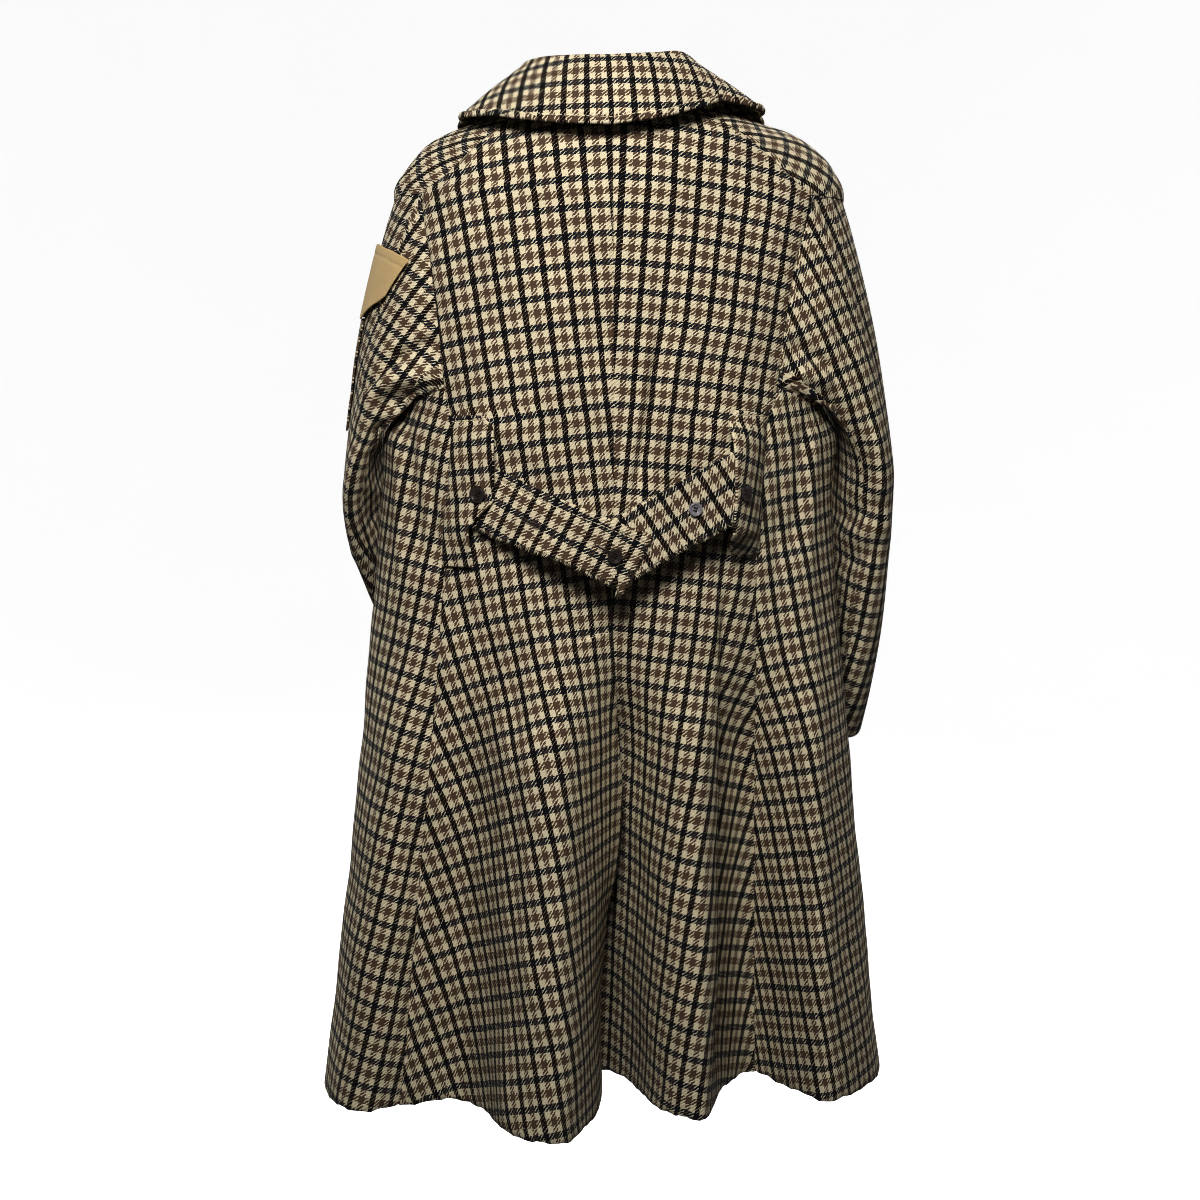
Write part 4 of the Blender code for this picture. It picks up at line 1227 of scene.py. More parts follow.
def make_sleeves(wool, loops):
    """Top and under sleeve of both sides."""
    along = np.concatenate([SLEEVE_EDGE_ROWS, np.linspace(*SLEEVE_ROWS)])
    for side in (-1, 1):
        around, _, loop_normal = loops[side]
        grid = sleeve(side, along[:, None], around[None, :], loops[side])
        wrapped = np.concatenate([grid[:, -2:-1], grid, grid[:, 1:2]], 1)
        normal = grid_normal(wrapped)[:, 1:-1] * -side
        normal[0] = loop_normal
        normal = softened(normal, NORMAL_PASSES)
        lift = sleeve_folds(side, along[:, None], around[None, :], grid, normal)
        grid = grid + normal * lift[..., None]
        inner = grid - normal * SLEEVE_CLOTH
        down = unit(grid[1] - grid[0]) * ARMHOLE_GAP
        grid[0] += down
        inner[0] += down
        first, last = (int(np.argmin(np.abs(around - a))) for a in UNDER_SLEEVE_ANGLES)
        under = np.arange(first, last + 1)
        top = np.concatenate([np.arange(last, len(around) - 1), np.arange(0, first + 1)])
        for name, pick in (("top", top), ("under", under)):
            turn = np.unwrap(around[pick], period=360.0)
            outer_part, inner_part = (trimmed(g[:, pick], SEAM_GAP / 2) for g in (grid, inner))
            face = partial(sleeve, side, loop=loops[side])
            flat = cut_face(name, side, face, along, turn)
            node = f"sleeve_{side_name(side)}_{name}"
            cloth(node, outer_part, inner_part, flat, wool, [f"front_{side_name(side)}"])


def make_on_sleeve(kind, slot, loops, table, gap, thickness, material, slant=None):
    """A piece that lies on the left sleeve's outer face; a slant lets its upper edge drop."""
    name = f"sleeve_{kind}"
    ends = table["along"]
    row_steps, share_steps = STEPS["on_sleeve"]
    rows, shares = np.linspace(ends[0], ends[-1], row_steps), np.linspace(0, 1, share_steps)

    def face(along, share):
        back, front = (np.interp(along, ends, table[edge]) for edge in ("back_angle", "front_angle"))
        around = back + (front - back) * share
        if slant:
            drop = np.interp(around, slant["angle"], slant["drop"])
            along = along + drop * (ends[-1] - along) / (ends[-1] - ends[0])
        return sleeve(-1, along, around, loops[-1]), along, around

    grid, along, around = face(rows[:, None], shares[None, :])
    normal = grid_normal(grid)
    normal *= -np.sign(normal[len(rows) // 2, len(shares) // 2, 0])
    lift = sleeve_folds(-1, along, around, grid, normal)[..., None]
    flat = cut_face(kind, -1, lambda *at: face(*at)[0], rows, shares)
    if slant:
        lift = lift + (FLAP_CURL * np.exp(-shares / FLAP_CURL_SHARE))[None, :, None]
    inner = grid + normal * (gap + lift)
    outer = inner + normal * thickness
    if slant:
        outer = outer + normal * turned_edge(name, grid, "top")
    return cloth(name, outer, inner, flat, material, ["sleeve_left_top"], slot)


def collar_grid(shares, angles):
    """Middle surface of the collar, from the neck seam over the roll to the lower edge."""
    columns = []
    for a in np.ravel(angles):
        side = -1 if a < 0 else 1
        b = abs(a)
        neck = body(side, b, NECK_Z)
        out = unit(np.array([neck[0], neck[1], 0.0]))
        start = neck + np.array([0, 0, SEAM_GAP]) - out * DOUBLE_CLOTH / 2
        roll_out = read(COLLAR_ROLL, "out", b)
        roll_z = read(COLLAR_ROLL, side_name(side), b)
        top = np.array([neck[0], neck[1], roll_z]) + out * roll_out
        on_body = read(COLLAR_EDGE, "body_angle", b)
        edge_z = read(COLLAR_EDGE, side_name(side), b)
        lift = read(COLLAR_EDGE, "lift", b)
        edge = body(side, on_body, edge_z) + body_normal(side, on_body, edge_z) * lift
        below = np.array([0, 0, COLLAR_TURN])
        stand = top - out * COLLAR_TURN - below
        fall = top + out * (COLLAR_TURN + COLLAR_OPEN) - below
        rise = start + (stand - start) * COLLAR_RISE
        belly = (fall + edge) / 2 + out * COLLAR_BELLY
        knots = np.array([start, rise, stand, top, fall, belly, edge])
        columns.append(np.stack([smooth(COLLAR_KNOTS, line, np.ravel(shares)) for line in knots.T], -1))
    return np.stack(columns, 1)


def make_collar(wool):
    """Collar stand and fall in one turned-over shell, with a stitched edge."""
    angles = np.linspace(-COLLAR_REACH, COLLAR_REACH, COLLAR_COLUMNS)
    shares = np.concatenate([np.linspace(*COLLAR_ROWS), np.linspace(*COLLAR_EDGE_ROWS)[1:]])
    grid = collar_grid(shares, angles)
    normal = -grid_normal(grid)
    outer = grid + normal * (DOUBLE_CLOTH / 2 + turned_edge("collar", grid, "bottom"))
    inner = grid - normal * DOUBLE_CLOTH / 2
    flat = cut_face("collar", 1, collar_grid, shares, angles)
    return cloth("collar", outer, inner, flat, wool, ["back_left", "back_right"])


def make_lapels(wool):
    """Lapels turned back on the fronts."""
    row_steps, share_steps = STEPS["lapel"]
    z, share = np.linspace(LAPEL["z"][0], LAPEL["z"][-1], row_steps), np.linspace(0, 1, share_steps)

    def face(side, z, share):
        width = read(LAPEL, "width", z)
        x = read(FRONT_EDGE, "x", z) + width * share
        zz = np.broadcast_to(z, x.shape)
        angle = angle_at(side, x, zz, front=True)
        return body(side, angle, zz), body_normal(side, angle, zz), angle

    for side in (-1, 1):
        point, normal, angle = face(side, z[:, None], share[None, :])
        rise = LAPEL_GAP + LAPEL_ROLL * np.sin(np.pi * share)[None, :] + body_folds(point, angle)
        inner = point + normal * rise[..., None]
        coarse_z, coarse_share = (line[::n] for line, n in zip((z, share), LAPEL_COARSE_STEPS))
        coarse_z = np.append(coarse_z[:-1], z[-1])
        plain, _, _ = face(side, coarse_z[:, None], coarse_share[None, :])
        flat = cut("lapel", -side, plain[::-1], coarse_z[::-1], coarse_share, z[::-1], share)[::-1]
        name = side_name(side)
        cloth(f"lapel_{name}", inner + normal * CLOTH, inner, flat, wool, [f"front_{name}"])


def tab_lift(table, z, share):
    """How far a tab's inner face stands off the body."""
    return TAB_GAP + read(table, "lift", z) * share**TAB_LIFT_POWER


def tab_face(side, z, share):
    """Inner face of a tab and its outward directions."""
    table = TAB_LEFT if side < 0 else TAB_RIGHT
    z, share = np.broadcast_arrays(z, share)
    seam = back_edge(side, z)
    free = angle_at(side, read(table, "free_x", z), z)
    angle = seam + (free - seam) * share
    normal = body_normal(side, angle, z)
    inner = body(side, angle, z) + normal * tab_lift(table, z, share)[..., None]
    out = grid_normal(inner)
    return inner, out * np.sign(np.sum(out * normal, -1, keepdims=True))


def make_tabs(wool):
    """Tabs caught in the side-back seams."""
    made = {}
    row_steps, share_steps = STEPS["tab"]
    share = np.linspace(0, 1, share_steps)
    for side, table in ((-1, TAB_LEFT), (1, TAB_RIGHT)):
        z = np.linspace(table["z"][0], table["z"][-1], row_steps)
        inner, out = tab_face(side, z[:, None], share[None, :])
        flat = cut_face("tab", -side, lambda *at: tab_face(side, *at)[0], z, share)
        outer = inner + out * (DOUBLE_CLOTH + turned_edge("tab", inner, "top"))
        name = side_name(side)
        made.update(cloth(f"tab_{name}", outer, inner, flat, wool, [f"side_{name}"]))
    return made


def under_tab(side, angle, z):
    """Most a belt may stand off the body and still pass under the tab."""
    table = TAB_LEFT if side < 0 else TAB_RIGHT
    seam = back_edge(side, z)
    free = angle_at(side, read(table, "free_x", z), z)
    share = np.maximum((seam - angle) / (seam - free), TAB_LEAST_SHARE)
    past = np.maximum(share - 1.0, 0.0)
    return tab_lift(table, z, np.minimum(share, 1.0)) - DOUBLE_CLOTH - BELT_GAP + BELT_FREE_RISE * past


def belt_face(table, across, along):
    """Inner face of a half belt, hung off the back, and its outward directions."""
    along, across = np.broadcast_arrays(np.asarray(along, float), np.asarray(across, float))
    place = np.linspace(0, 1, len(table["x"]))
    x, z, lift = (smooth(place, table[name], along) for name in ("x", "z", "lift"))
    run = np.array([table[name][-1] - table[name][0] for name in "xz"])
    run /= np.linalg.norm(run)
    up = np.array([-run[1], run[0]]) * np.sign(run[0])
    px = x + up[0] * across
    pz = z + up[1] * across
    side = np.where(px < 0, -1, 1)
    left, right = (angle_at(s, np.abs(px), pz) for s in (-1, 1))
    face = np.where((side < 0)[..., None], body(-1, left, pz), body(1, right, pz))
    normal = np.where((side < 0)[..., None], body_normal(-1, left, pz), body_normal(1, right, pz))
    start = -1 if table is BELT_LEFT else 1
    cap = np.where(side == start, under_tab(start, left if start < 0 else right, pz), np.inf)
    return face + normal * np.minimum(lift, cap)[..., None], normal


def make_belts(wool):
    """Two half belts lapped at the middle."""
    made = {}
    row_steps, column_steps = STEPS["belt"]
    across = np.linspace(BELT_HALF_WIDTH, -BELT_HALF_WIDTH, row_steps)
    along = np.linspace(0, 1, column_steps)
    for name, table, way in (("left", BELT_LEFT, 1), ("right", BELT_RIGHT, -1)):
        inner, normal = belt_face(table, across[:, None], along[None, :])
        turned = turned_edge("belt_left", inner, "top") if name == "left" else 0.0
        outer = inner + normal * (DOUBLE_CLOTH + turned)
        flat = cut_face("belt", way, lambda *at: belt_face(table, *at)[0], across, along)
        made.update(cloth(f"belt_{name}", outer, inner, flat, wool, [f"tab_{name}"]))
    return made


def tubes(name, lines, radius, material, flat=None):
    """Threads as one mesh: round tubes along equal lines of points, drawn in at their ends."""
    lines = np.asarray(lines, float)
    count, steps = lines.shape[:2]
    run = unit(np.gradient(lines, axis=1))
    helper = np.where(np.abs(run[..., 2:]) < TUBE_STEEP, [0.0, 0.0, 1.0], [1.0, 0.0, 0.0])
    a = unit(np.cross(run, helper))
    b = np.cross(run, a)
    drawn_in = TUBE_END * np.abs(np.linspace(-1, 1, steps)) ** TUBE_END_POWER
    thick = radius * np.sqrt(1 - drawn_in)[None, :, None, None]
    turns = np.linspace(0, 2 * np.pi, TUBE_SIDES, endpoint=False)[:, None]
    circle = np.cos(turns) * a[:, :, None] + np.sin(turns) * b[:, :, None]
    points = (lines[:, :, None] + circle * thick).reshape(-1, 3)
    index = np.arange(len(points)).reshape(count, steps, TUBE_SIDES)
    ahead = np.roll(index, -1, axis=2)
    faces = np.stack([index[:, :-1], ahead[:, :-1], ahead[:, 1:], index[:, 1:]], -1).reshape(-1, 4)
    places = None if flat is None else np.repeat(flat, steps * TUBE_SIDES, axis=0)
    return mesh_object(name, points, faces, [material], places)


def length_along(path):
    """Distance along a line of points."""
    return np.concatenate([[0.0], np.cumsum(np.linalg.norm(np.diff(path, axis=0), axis=-1))])


def along_path(path, at):
    """Points of a line at distances along it."""
    return between(at, length_along(path), path)


def stitches(path, out, stitch, space):
    """Lines of single stitches along a path on cloth, each bowed a little off it."""
    starts = np.arange(space, length_along(path)[-1] - stitch, stitch + space)
    share = np.linspace(0, 1, STITCH_POINTS)
    gone = starts[:, None] + stitch * share
    bow = STITCH_LIFT * (STITCH_BOW * np.sin(np.pi * share) - STITCH_SINK)
    normal = between(gone, length_along(path), out)
    return along_path(path, gone) + normal * bow[:, None]


def inset(outer, inner, edge, distance):
    """Line on a piece's face at a distance in from one of its edges, and its outward directions."""
    def turned(grid):
        grid = grid if edge in ("top", "bottom") else np.swapaxes(grid, 0, 1)
        return grid[::-1] if edge in ("bottom", "last") else grid

    face, out = turned(outer), unit(turned(outer) - turned(inner))
    down = edge_distance(np.swapaxes(face, 0, 1))[0]

    def line(grid):
        return np.array([between(distance, down[j], grid[:, j]) for j in range(grid.shape[1])])

    return line(face), unit(line(out))


def raw_edge(rng, outer, inner, flat, edge, per_mm, shortest, longest):
    """Loose yarn ends that stand out of a raw edge, and the flat places that colour them."""
    rim = (outer + inner) / 2
    path, out = inset(rim, inner, edge, 0.0)
    within, _ = inset(rim, inner, edge, EDGE_STEP)
    places, _ = inset(np.concatenate([flat, flat[..., :1]], -1), np.zeros_like(rim), edge, 0.0)
    gone = length_along(path)
    count = int(gone[-1] * per_mm)
    at = np.sort(rng.uniform(STRAND_END_GAP, gone[-1] - STRAND_END_GAP, count))
    root = along_path(path, at)
    place = np.interp(at, gone, np.arange(len(path)))
    ahead = unit(root - between(place, np.arange(len(path)), within))
    along = unit(along_path(path, at + STRAND_END_GAP) - along_path(path, at - STRAND_END_GAP))
    off = between(at, gone, out)
    lean, rise = rng.normal(0, STRAND_LEAN, (2, count, 1))
    length = rng.uniform(shortest, longest, (count, 1))
    share = np.linspace(0, 1, STRAND_POINTS)[None, :, None]
    way = ahead + along * lean + off * rise * STRAND_RISE
    bend = along * rng.normal(0, STRAND_BEND, (count, 1)) * length
    root = root + off * rng.uniform(-STRAND_SPREAD, STRAND_SPREAD, (count, 1)) - ahead * STRAND_ROOT
    reach = (length + STRAND_ROOT)[:, None] * share
    lines = root[:, None] + way[:, None] * reach + bend[:, None] * share**2
    return lines, between(at, gone, places[:, :2])


def make_sewing(thread, dark_thread_and_slot_shade, yarn, sewn):
    """Topstitching, stitches of flap, hem and centre back, bar tack, buttonholes and raw edges."""
    lines = []
    for piece, edge, like in (("collar", "bottom", "collar"), ("belt_left", "top", "belt_left"),
                              ("tab_left", "top", "tab"), ("tab_right", "top", "tab")):
        path, out = inset(*sewn[piece][:2], edge, TURNED_EDGES[like][0])
        lines.append(stitches(path, out, *TOPSTITCH[:2]))
    keep(tubes("topstitch", np.concatenate(lines), TOPSTITCH[2], thread), "wool")
    path, out = inset(*sewn["sleeve_flap"][:2], "top", TURNED_EDGES["sleeve_flap"][0])
    keep(tubes("flap_stitch", stitches(path, out, *FINE_STITCH[:2]), FINE_STITCH[2], thread), "tan_twill")
    hems = [stitches(*inset(*sewn[f"{kind}_{name}"][:2], "bottom", HEM_STITCH_INSET), *HEM_STITCH[:2])
            for kind in ("back", "side", "front") for name in ("left", "right")]
    keep(tubes("hem_stitch", np.concatenate(hems), HEM_STITCH[2], thread), "wool")
    path, out = inset(*sewn["back_left"][:2], "first", CENTRE_STITCH_INSET)
    seen = (path[:, 2] < CENTRE_STITCH_Z[0]) & (path[:, 2] > CENTRE_STITCH_Z[1])
    seam = stitches(path[seen], out[seen], *FINE_STITCH[:2])
    keep(tubes("centre_back_stitch", seam, FINE_STITCH[2], thread), "wool")
    make_bar_tack(thread)
    make_buttonholes(yarn, dark_thread_and_slot_shade)
    rng = np.random.default_rng(FRINGE_SEED)
    strands = [raw_edge(rng, *sewn[f"belt_{name}"], edge, *rest) for name, edge, *rest in RAW_EDGES]
    lines, places = (np.concatenate(part) for part in zip(*strands))
    keep(tubes("belt_fringe", lines, STRAND_RADIUS, yarn, places), "wool")


def make_bar_tack(thread):
    """Stitches over the top of the vent, at the angles where the left back passes their x."""
    x, z = np.linspace(*BAR_TACK, BAR_TACK_POINTS).T
    angle = angle_at(-1, np.abs(x), np.maximum(z, WAIST_Z))
    for _ in range(BAR_TACK_PASSES):
        angle = angle * x / body(-1, angle, z)[:, 0]
    face, out = body(-1, angle, z), body_normal(-1, angle, z)
    path = face + out * (body_folds(face, angle)[:, None] + STITCH_LIFT)
    keep(tubes("bar_tack", stitches(path, out, *BAR_STITCH[:2]), BAR_STITCH[2], thread), "wool")


def make_buttonholes(yarn, dark):
    """Keyhole buttonholes of the left belt: a dark sheet in each slot paints the shade in the cut, with bars
    of thread round it.
    """
    belt_length = float(np.linalg.norm([BELT_LEFT[name][-1] - BELT_LEFT[name][0] for name in "xz"]))
    turn = np.linspace(-EYE_TURN * np.pi, EYE_TURN * np.pi, EYE_POINTS)
    eye = np.stack([np.cos(turn), np.sin(turn)], -1) * BUTTONHOLE_EYE
    sides = np.repeat([[0.0, 1.0], [0.0, -1.0]], SLOT_POINTS, axis=0)
    away = np.concatenate([unit(eye), sides])
    steps = np.linspace(0, 1, STITCH_POINTS)

    def on_belt(share, height, places):
        return belt_face(BELT_LEFT, height + places[..., 1], share + places[..., 0] / belt_length)

    for number, (share, height, length) in enumerate(BUTTONHOLES):
        back = np.linspace(eye[0, 0], -length, SLOT_POINTS)
        lower = np.stack([back, 0 * back - BUTTONHOLE_SLOT], -1)
        upper = np.stack([back[::-1], 0 * back + BUTTONHOLE_SLOT], -1)
        outline = np.concatenate([eye, upper[::-1], lower[::-1]])
        bars = outline[:, None] + away[:, None] * (BUTTONHOLE_BAR * steps)[None, :, None]
        inner, out = on_belt(share, height, bars)
        bow = DOUBLE_CLOTH + STITCH_LIFT * (np.sin(np.pi * steps) + BUTTONHOLE_RISE)
        name = f"buttonhole_{number + 1}"
        places = np.tile([[WARP_REPEAT * BUTTONHOLE_BAND, 0.0]], (len(bars), 1))
        keep(tubes(f"{name}_thread", inner + out * bow[:, None], BUTTONHOLE_THREAD, yarn, places), "wool")
        # Slot: a dark sheet just over the belt that paints the shade in the cut.
        rim, spine = (
            inner + out * (DOUBLE_CLOTH + BUTTONHOLE_LIFT)
            for inner, out in (on_belt(share, height, line) for line in (outline, outline * (1.0, 0.0)))
        )
        n = len(outline)
        faces = [(i, (i + 1) % n, n + (i + 1) % n, n + i) for i in range(n)]
        keep(mesh_object(f"{name}_slot", np.concatenate([rim, spine]), faces, [dark]), "wool")


def turned_solid(profile, segments):
    """Points and faces of a solid turned about Z, closed on its axis at both ends."""
    turns = np.linspace(0, 2 * np.pi, segments, endpoint=False)
    rings = [[(r * np.cos(t), r * np.sin(t), h) for t in turns] for r, h in profile[1:-1]]
    points = [(0, 0, profile[0][1])] + sum(rings, []) + [(0, 0, profile[-1][1])]
    faces = []
    for j in range(segments):
        k = (j + 1) % segments
        faces.append((0, 1 + k, 1 + j))
        for i in range(len(rings) - 1):
            a, b = 1 + i * segments, 1 + (i + 1) * segments
            faces.append((a + j, a + k, b + k, b + j))
        last = 1 + (len(rings) - 1) * segments
        faces.append((last + j, last + k, len(points) - 1))
    return points, faces


def button_form():
    """Points and faces of one four-hole button, of radius and height one."""
    blank = mesh_object("button blank", *turned_solid(BUTTON_PROFILE, BUTTON_SEGMENTS), [])
    drill = ((0.0, -1.0), (HOLE_RADIUS, -1.0), (HOLE_RADIUS, 2.0), (0.0, 2.0))
    points, faces = turned_solid(drill, HOLE_SEGMENTS)
    cutters = []
    for x in (-HOLE_PLACE, HOLE_PLACE):
        for y in (-HOLE_PLACE, HOLE_PLACE):
            cutter = mesh_object("drill", np.array(points) + (x, y, 0.0), faces, [])
            modifier = blank.modifiers.new("hole", "BOOLEAN")
            modifier.operation, modifier.object, modifier.solver = "DIFFERENCE", cutter, "EXACT"
            cutters.append(cutter)
    for made in (blank, *cutters):
        made.scale = (1 / MM,) * 3
    bpy.context.view_layer.update()
    mesh = blank.evaluated_get(bpy.context.evaluated_depsgraph_get()).to_mesh()
    form = np.array([v.co[:] for v in mesh.vertices]) / MM, [tuple(p.vertices) for p in mesh.polygons]
    for made in (blank, *cutters):
        bpy.data.objects.remove(made, do_unlink=True)
    return form


def button_places():
    """Name, place, outward direction, radius and finish of each button."""
    for side, z, share in TAB_BUTTONS:
        wide, high = np.array([[-1.0, 0.0, 1.0]]) * TAB_BUTTON_STEPS[0], np.array([[1.0], [0.0], [-1.0]])
        inner, _ = tab_face(side, z + high * TAB_BUTTON_STEPS[1], share + wide)
        out = unit(np.cross(inner[1, 2] - inner[1, 0], [0.0, 0.0, 1.0]) * -side)
        place = inner[1, 1] + out * DOUBLE_CLOTH
        yield f"button_tab_{side_name(side)}", place, out, TAB_BUTTON_RADIUS, "dark"
    for name, share, radius in BELT_BUTTONS:
        table = BELT_LEFT if name == "left" else BELT_RIGHT
        inner, out = (g[0, 0] for g in belt_face(table, [[0.0]], [[share]]))
        # The right belt button's pale grey finish is painted reflection on a dark button.
        finish = "dark" if name == "left" else "painted_reflection"
        yield f"button_belt_{name}", inner + out * DOUBLE_CLOTH, out, radius, finish
    for i, z in enumerate(FRONT_BUTTON_Z):
        for j, x in enumerate(FRONT_BUTTON_X):
            angle = angle_at(1, np.array(x), max(z, WAIST_Z), front=True)
            face, out = body(1, angle, z), body_normal(1, angle, z)
            place = face + out * body_folds(face, angle)
            number = len(FRONT_BUTTON_X) * i + j + 1
            yield f"button_front_{number}", place, out, FRONT_BUTTON_RADIUS, "dark"


def make_buttons(finishes, dark_thread_and_slot_shade):
    """Four-hole buttons sewn on with two bars of thread."""
    points, faces = button_form()
    bars = []
    across = np.linspace(-HOLE_PLACE, HOLE_PLACE, STITCH_POINTS)
    arc = np.cos(np.linspace(-THREAD_ARC, THREAD_ARC, STITCH_POINTS))
    bow = BUTTON_PROFILE[-1][1] + THREAD_RISE * arc - THREAD_SINK
    for (name, place, out, radius, finish), turn in zip(button_places(), BUTTON_TURNS):
        side = unit(np.cross(out, [0.0, 0.0, 1.0]))
        up = np.cross(side, out)
        c, s = math.cos(math.radians(turn)), math.sin(math.radians(turn))
        axes = np.stack([(side * c + up * s) * radius, (up * c - side * s) * radius, out * BUTTON_HEIGHT])
        base = place + out * 2 * SEAM_GAP
        button = mesh_object(f"{name}_turned", points @ axes + base, faces, [finishes[finish]])
        keep(button, f"{finish}_button", name)
        for row in (-HOLE_PLACE, HOLE_PLACE):
            bars.append(np.stack([across, 0 * across + row, bow], -1) @ axes + base)
    keep(tubes("button_threads", bars, BUTTON_THREAD * FRONT_BUTTON_RADIUS, dark_thread_and_slot_shade), "dark_button")


def node(tree, kind, inputs=None, **settings):
    """A shader node; each input is a value or another node's output."""
    made = tree.nodes.new(kind)
    for key, value in settings.items():
        setattr(made, key, value)
    for key, value in (inputs or {}).items():
        if isinstance(value, bpy.types.NodeSocket):
            tree.links.new(value, made.inputs[key])
        else:
            made.inputs[key].default_value = value
    return made


def calc(tree, operation, a, b=0.0, c=0.0):
    """Output of a math node."""
    return node(tree, "ShaderNodeMath", {0: a, 1: b, 2: c}, operation=operation).outputs[0]


def bands(tree, phase, colours):
    """Colour and cover of the band that a phase from 0 to 1 falls in."""
    ramp = node(tree, "ShaderNodeValToRGB", {"Fac": phase})
    ramp.color_ramp.interpolation = "CONSTANT"
    stops = ramp.color_ramp.elements
    while len(stops) < len(colours):
        stops.new(0.5)
    for stop, (place, colour, cover) in zip(stops, colours):
        stop.position = place
        stop.color = (*colour, cover)
    return ramp.outputs["Color"], ramp.outputs["Alpha"]


def new_material(name, roughness):
    """A material with its node tree and its Principled shader."""
    material = bpy.data.materials.new(name)
    material.use_nodes = True
    tree = material.node_tree
    shader = tree.nodes["Principled BSDF"]
    shader.inputs["Roughness"].default_value = roughness
    return material, tree, shader


def fibre(tree, vector, scale, low, high):
    """Noise from low to high, for uneven yarn."""
    inputs = {"Vector": vector, "Scale": scale, "Detail": NOISE_DETAIL}
    noise = node(tree, "ShaderNodeTexNoise", inputs).outputs["Fac"]
    start, end = NOISE_RANGE
    inputs = {"Value": noise, "From Min": start, "From Max": end, "To Min": low, "To Max": high}
    return node(tree, "ShaderNodeMapRange", inputs).outputs["Result"]


def tinted(tree, colour, factor):
    """A colour made lighter or darker by a factor."""
    return node(tree, "ShaderNodeVectorMath", {0: colour, 1: factor}, operation="MULTIPLY").outputs[0]


def flat_places(tree):
    """Flat places of the cloth, as its meshes carry them."""
    return node(tree, "ShaderNodeAttribute", attribute_name="flat").outputs["Vector"]


def raise_face(tree, shader, height, strength, distance):
    """Fine relief of the yarn; its distance is in millimetres."""
    bump = node(tree, "ShaderNodeBump", {"Strength": strength, "Distance": distance * MM, "Height": height})
    tree.links.new(bump.outputs["Normal"], shader.inputs["Normal"])


def make_wool():
    """Gun-club check in twill wool, from the cloth's flat places."""
    material, tree, shader = new_material("checked wool", WOOL_ROUGHNESS)
    flat = flat_places(tree)
    split = node(tree, "ShaderNodeSeparateXYZ", {0: flat})
    uneven = calc(tree, "MULTIPLY", fibre(tree, flat, *WOOL_WANDER), WANDER * MM)
    u = calc(tree, "ADD", split.outputs["X"], uneven)
    v = calc(tree, "ADD", split.outputs["Y"], uneven)
    warp_phase = calc(tree, "FRACT", calc(tree, "DIVIDE", u, WARP_REPEAT * MM))
    weft_phase = calc(tree, "FRACT", calc(tree, "DIVIDE", v, WEFT_REPEAT * MM))
    line = calc(tree, "FRACT", calc(tree, "DIVIDE", calc(tree, "ADD", u, v), TWILL * MM))
    warp, warp_cover = bands(tree, warp_phase, WARP_BANDS)
    weft, weft_cover = bands(tree, weft_phase, WEFT_BANDS)
    cover = calc(tree, "ADD", calc(tree, "SUBTRACT", warp_cover, weft_cover), 0.5)
    warp_on_top = calc(tree, "LESS_THAN", line, cover)
    colour = node(tree, "ShaderNodeMix", {"Factor": warp_on_top, "A": weft, "B": warp}, data_type="RGBA")
    yarn = fibre(tree, flat, *WOOL_YARN)
    patch = fibre(tree, flat, *WOOL_PATCHES)
    toned = tinted(tree, colour.outputs["Result"], calc(tree, "MULTIPLY", yarn, patch))
    tree.links.new(toned, shader.inputs["Base Color"])
    ridge = calc(tree, "SINE", calc(tree, "MULTIPLY", line, 2 * math.pi))
    raise_face(tree, shader, calc(tree, "MULTIPLY_ADD", yarn, YARN_HEIGHT, ridge), *WOOL_BUMP)
    shader.inputs["Specular IOR Level"].default_value = WOOL_GLOSS
    shader.inputs["Sheen Weight"].default_value = SHEEN
    shader.inputs["Sheen Roughness"].default_value = SHEEN_ROUGHNESS
    return material


def make_yarn():
    """Loose yarn in the colour of the warp band it comes from."""
    material, tree, shader = new_material("loose yarn", WOOL_ROUGHNESS)
    flat = flat_places(tree)
    u = node(tree, "ShaderNodeSeparateXYZ", {0: flat}).outputs["X"]
    phase = calc(tree, "FRACT", calc(tree, "DIVIDE", u, WARP_REPEAT * MM))
    tone = fibre(tree, flat, *LOOSE_YARN)
    tree.links.new(tinted(tree, bands(tree, phase, WARP_BANDS)[0], tone), shader.inputs["Base Color"])
    return material


def make_twill():
    """Plain tan cotton twill."""
    material, tree, shader = new_material("tan twill", COTTON_ROUGHNESS)
    flat = flat_places(tree)
    split = node(tree, "ShaderNodeSeparateXYZ", {0: flat})
    across = calc(tree, "ADD", split.outputs["X"], split.outputs["Y"])
    across = calc(tree, "DIVIDE", across, COTTON_TWILL * MM)
    ridge = calc(tree, "SINE", calc(tree, "MULTIPLY", across, 2 * math.pi))
    yarn = fibre(tree, flat, *COTTON_YARN)
    tone = calc(tree, "MULTIPLY_ADD", ridge, COTTON_RIDGE, yarn)
    tree.links.new(tinted(tree, TAN, tone), shader.inputs["Base Color"])
    raise_face(tree, shader, ridge, *COTTON_BUMP)
    return material


def make_plain(name):
    """A material of one colour with uneven tone, for thread, buttons and the floor."""
    colour, roughness, uneven, coat, glow = PLAIN[name]
    material, tree, shader = new_material(name, roughness)
    place = node(tree, "ShaderNodeTexCoord").outputs["Object"]
    tone = fibre(tree, place, *uneven)
    tree.links.new(tinted(tree, colour, tone), shader.inputs["Base Color"])
    shader.inputs["Coat Weight"].default_value = coat
    shader.inputs["Specular IOR Level"].default_value = PLAIN_GLOSS
    shader.inputs["Emission Color"].default_value = (*colour, 1.0)
    shader.inputs["Emission Strength"].default_value = glow
    return material


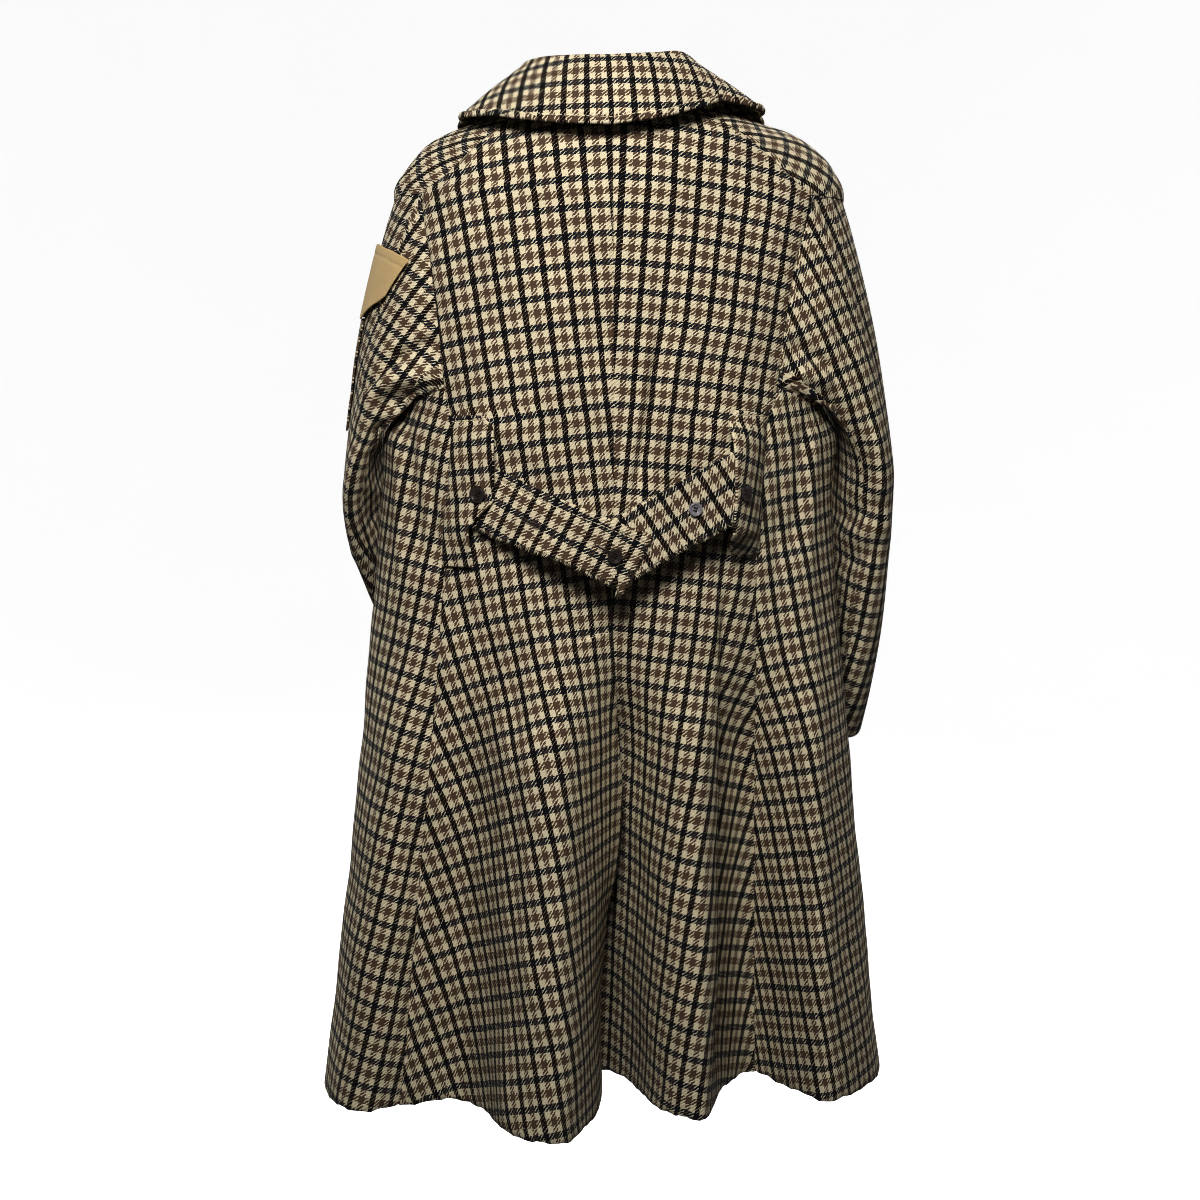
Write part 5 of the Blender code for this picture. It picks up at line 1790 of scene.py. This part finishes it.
def make_stage(material):
    """Pale floor that turns up into a round backdrop."""
    turn = np.linspace(0, 2 * np.pi, STAGE_TURNS, endpoint=False)
    rise = np.linspace(0, np.pi / 2, STAGE_BEND_STEPS)
    reach = [STAGE_CENTRE, *(STAGE_RADIUS - STAGE_BEND + STAGE_BEND * np.sin(rise)), STAGE_RADIUS]
    height = [0.0, *(STAGE_BEND - STAGE_BEND * np.cos(rise)), STAGE_HEIGHT]
    points = [(r * np.cos(t), r * np.sin(t), FLOOR_Z + h) for r, h in zip(reach, height) for t in turn]
    n = len(turn)
    faces = [(i * n + j, i * n + (j + 1) % n, (i + 1) * n + (j + 1) % n, (i + 1) * n + j)
             for i in range(len(reach) - 1) for j in range(n)]
    floor = mesh_object("floor", np.array(points) / MM, faces, [material])
    floor.visible_diffuse = False


def make_lights():
    """Soft studio light and a pale world."""
    aim = CAMERA_TARGET
    for name, place, size, power in LIGHTS:
        light = bpy.data.lights.new(name, "AREA")
        light.size = size
        light.energy = power
        made = bpy.data.objects.new(name, light)
        made.location = place
        made.rotation_euler = (aim - Vector(place)).to_track_quat("-Z", "Y").to_euler()
        bpy.context.scene.collection.objects.link(made)
    bpy.context.scene.view_settings.view_transform = "Standard"
    bpy.context.scene.view_settings.gamma = PICTURE_GAMMA
    world = bpy.data.worlds.new("studio")
    world.use_nodes = True
    background = world.node_tree.nodes["Background"]
    background.inputs["Color"].default_value = (1.0, 1.0, 1.0, 1.0)
    background.inputs["Strength"].default_value = WORLD
    bpy.context.scene.world = world


def make_camera():
    """Camera at the photograph's viewing angle."""
    azimuth, elevation = math.radians(CAMERA_AZIMUTH), math.radians(CAMERA_ELEVATION)
    back = Vector((math.sin(azimuth) * math.cos(elevation), -math.cos(azimuth) * math.cos(elevation),
                   math.sin(elevation)))
    camera = bpy.data.objects.new("camera", bpy.data.cameras.new("camera"))
    camera.data.lens = CAMERA_LENS
    camera.data.sensor_width = CAMERA_SENSOR
    camera.location = CAMERA_TARGET + back * CAMERA_DISTANCE
    camera.rotation_euler = (-back).to_track_quat("-Z", "Y").to_euler()
    bpy.context.scene.collection.objects.link(camera)
    bpy.context.scene.camera = camera
    bpy.context.scene.cycles.filter_width = PIXEL_FILTER


def main():
    """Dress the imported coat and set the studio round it."""
    make_camera()
    wool, twill = make_wool(), make_twill()
    loops = {side: armhole(side, stations(ARMHOLE_ROWS), ARMHOLE_COLUMNS) for side in (-1, 1)}
    sewn = make_body(wool)
    make_sleeves(wool, loops)
    flap = make_on_sleeve("flap", "tan_twill", loops, FLAP, FLAP_GAP, FLAP_CLOTH, twill, FLAP_SLANT)
    sewn.update(flap)
    make_on_sleeve("patch", "wool", loops, PATCH, PATCH_GAP, PATCH_CLOTH, wool)
    sewn.update(make_collar(wool))
    make_lapels(wool)
    sewn.update(make_tabs(wool))
    sewn.update(make_belts(wool))
    thread, dark_thread_and_slot_shade = make_plain("sewing thread"), make_plain("dark thread and painted slot shade")
    make_sewing(thread, dark_thread_and_slot_shade, make_yarn(), sewn)
    make_buttons({"dark": make_plain("dark horn"), "painted_reflection": make_plain("grey button with painted reflection")}, dark_thread_and_slot_shade)
    make_stage(make_plain("pale floor"))
    make_lights()


main()
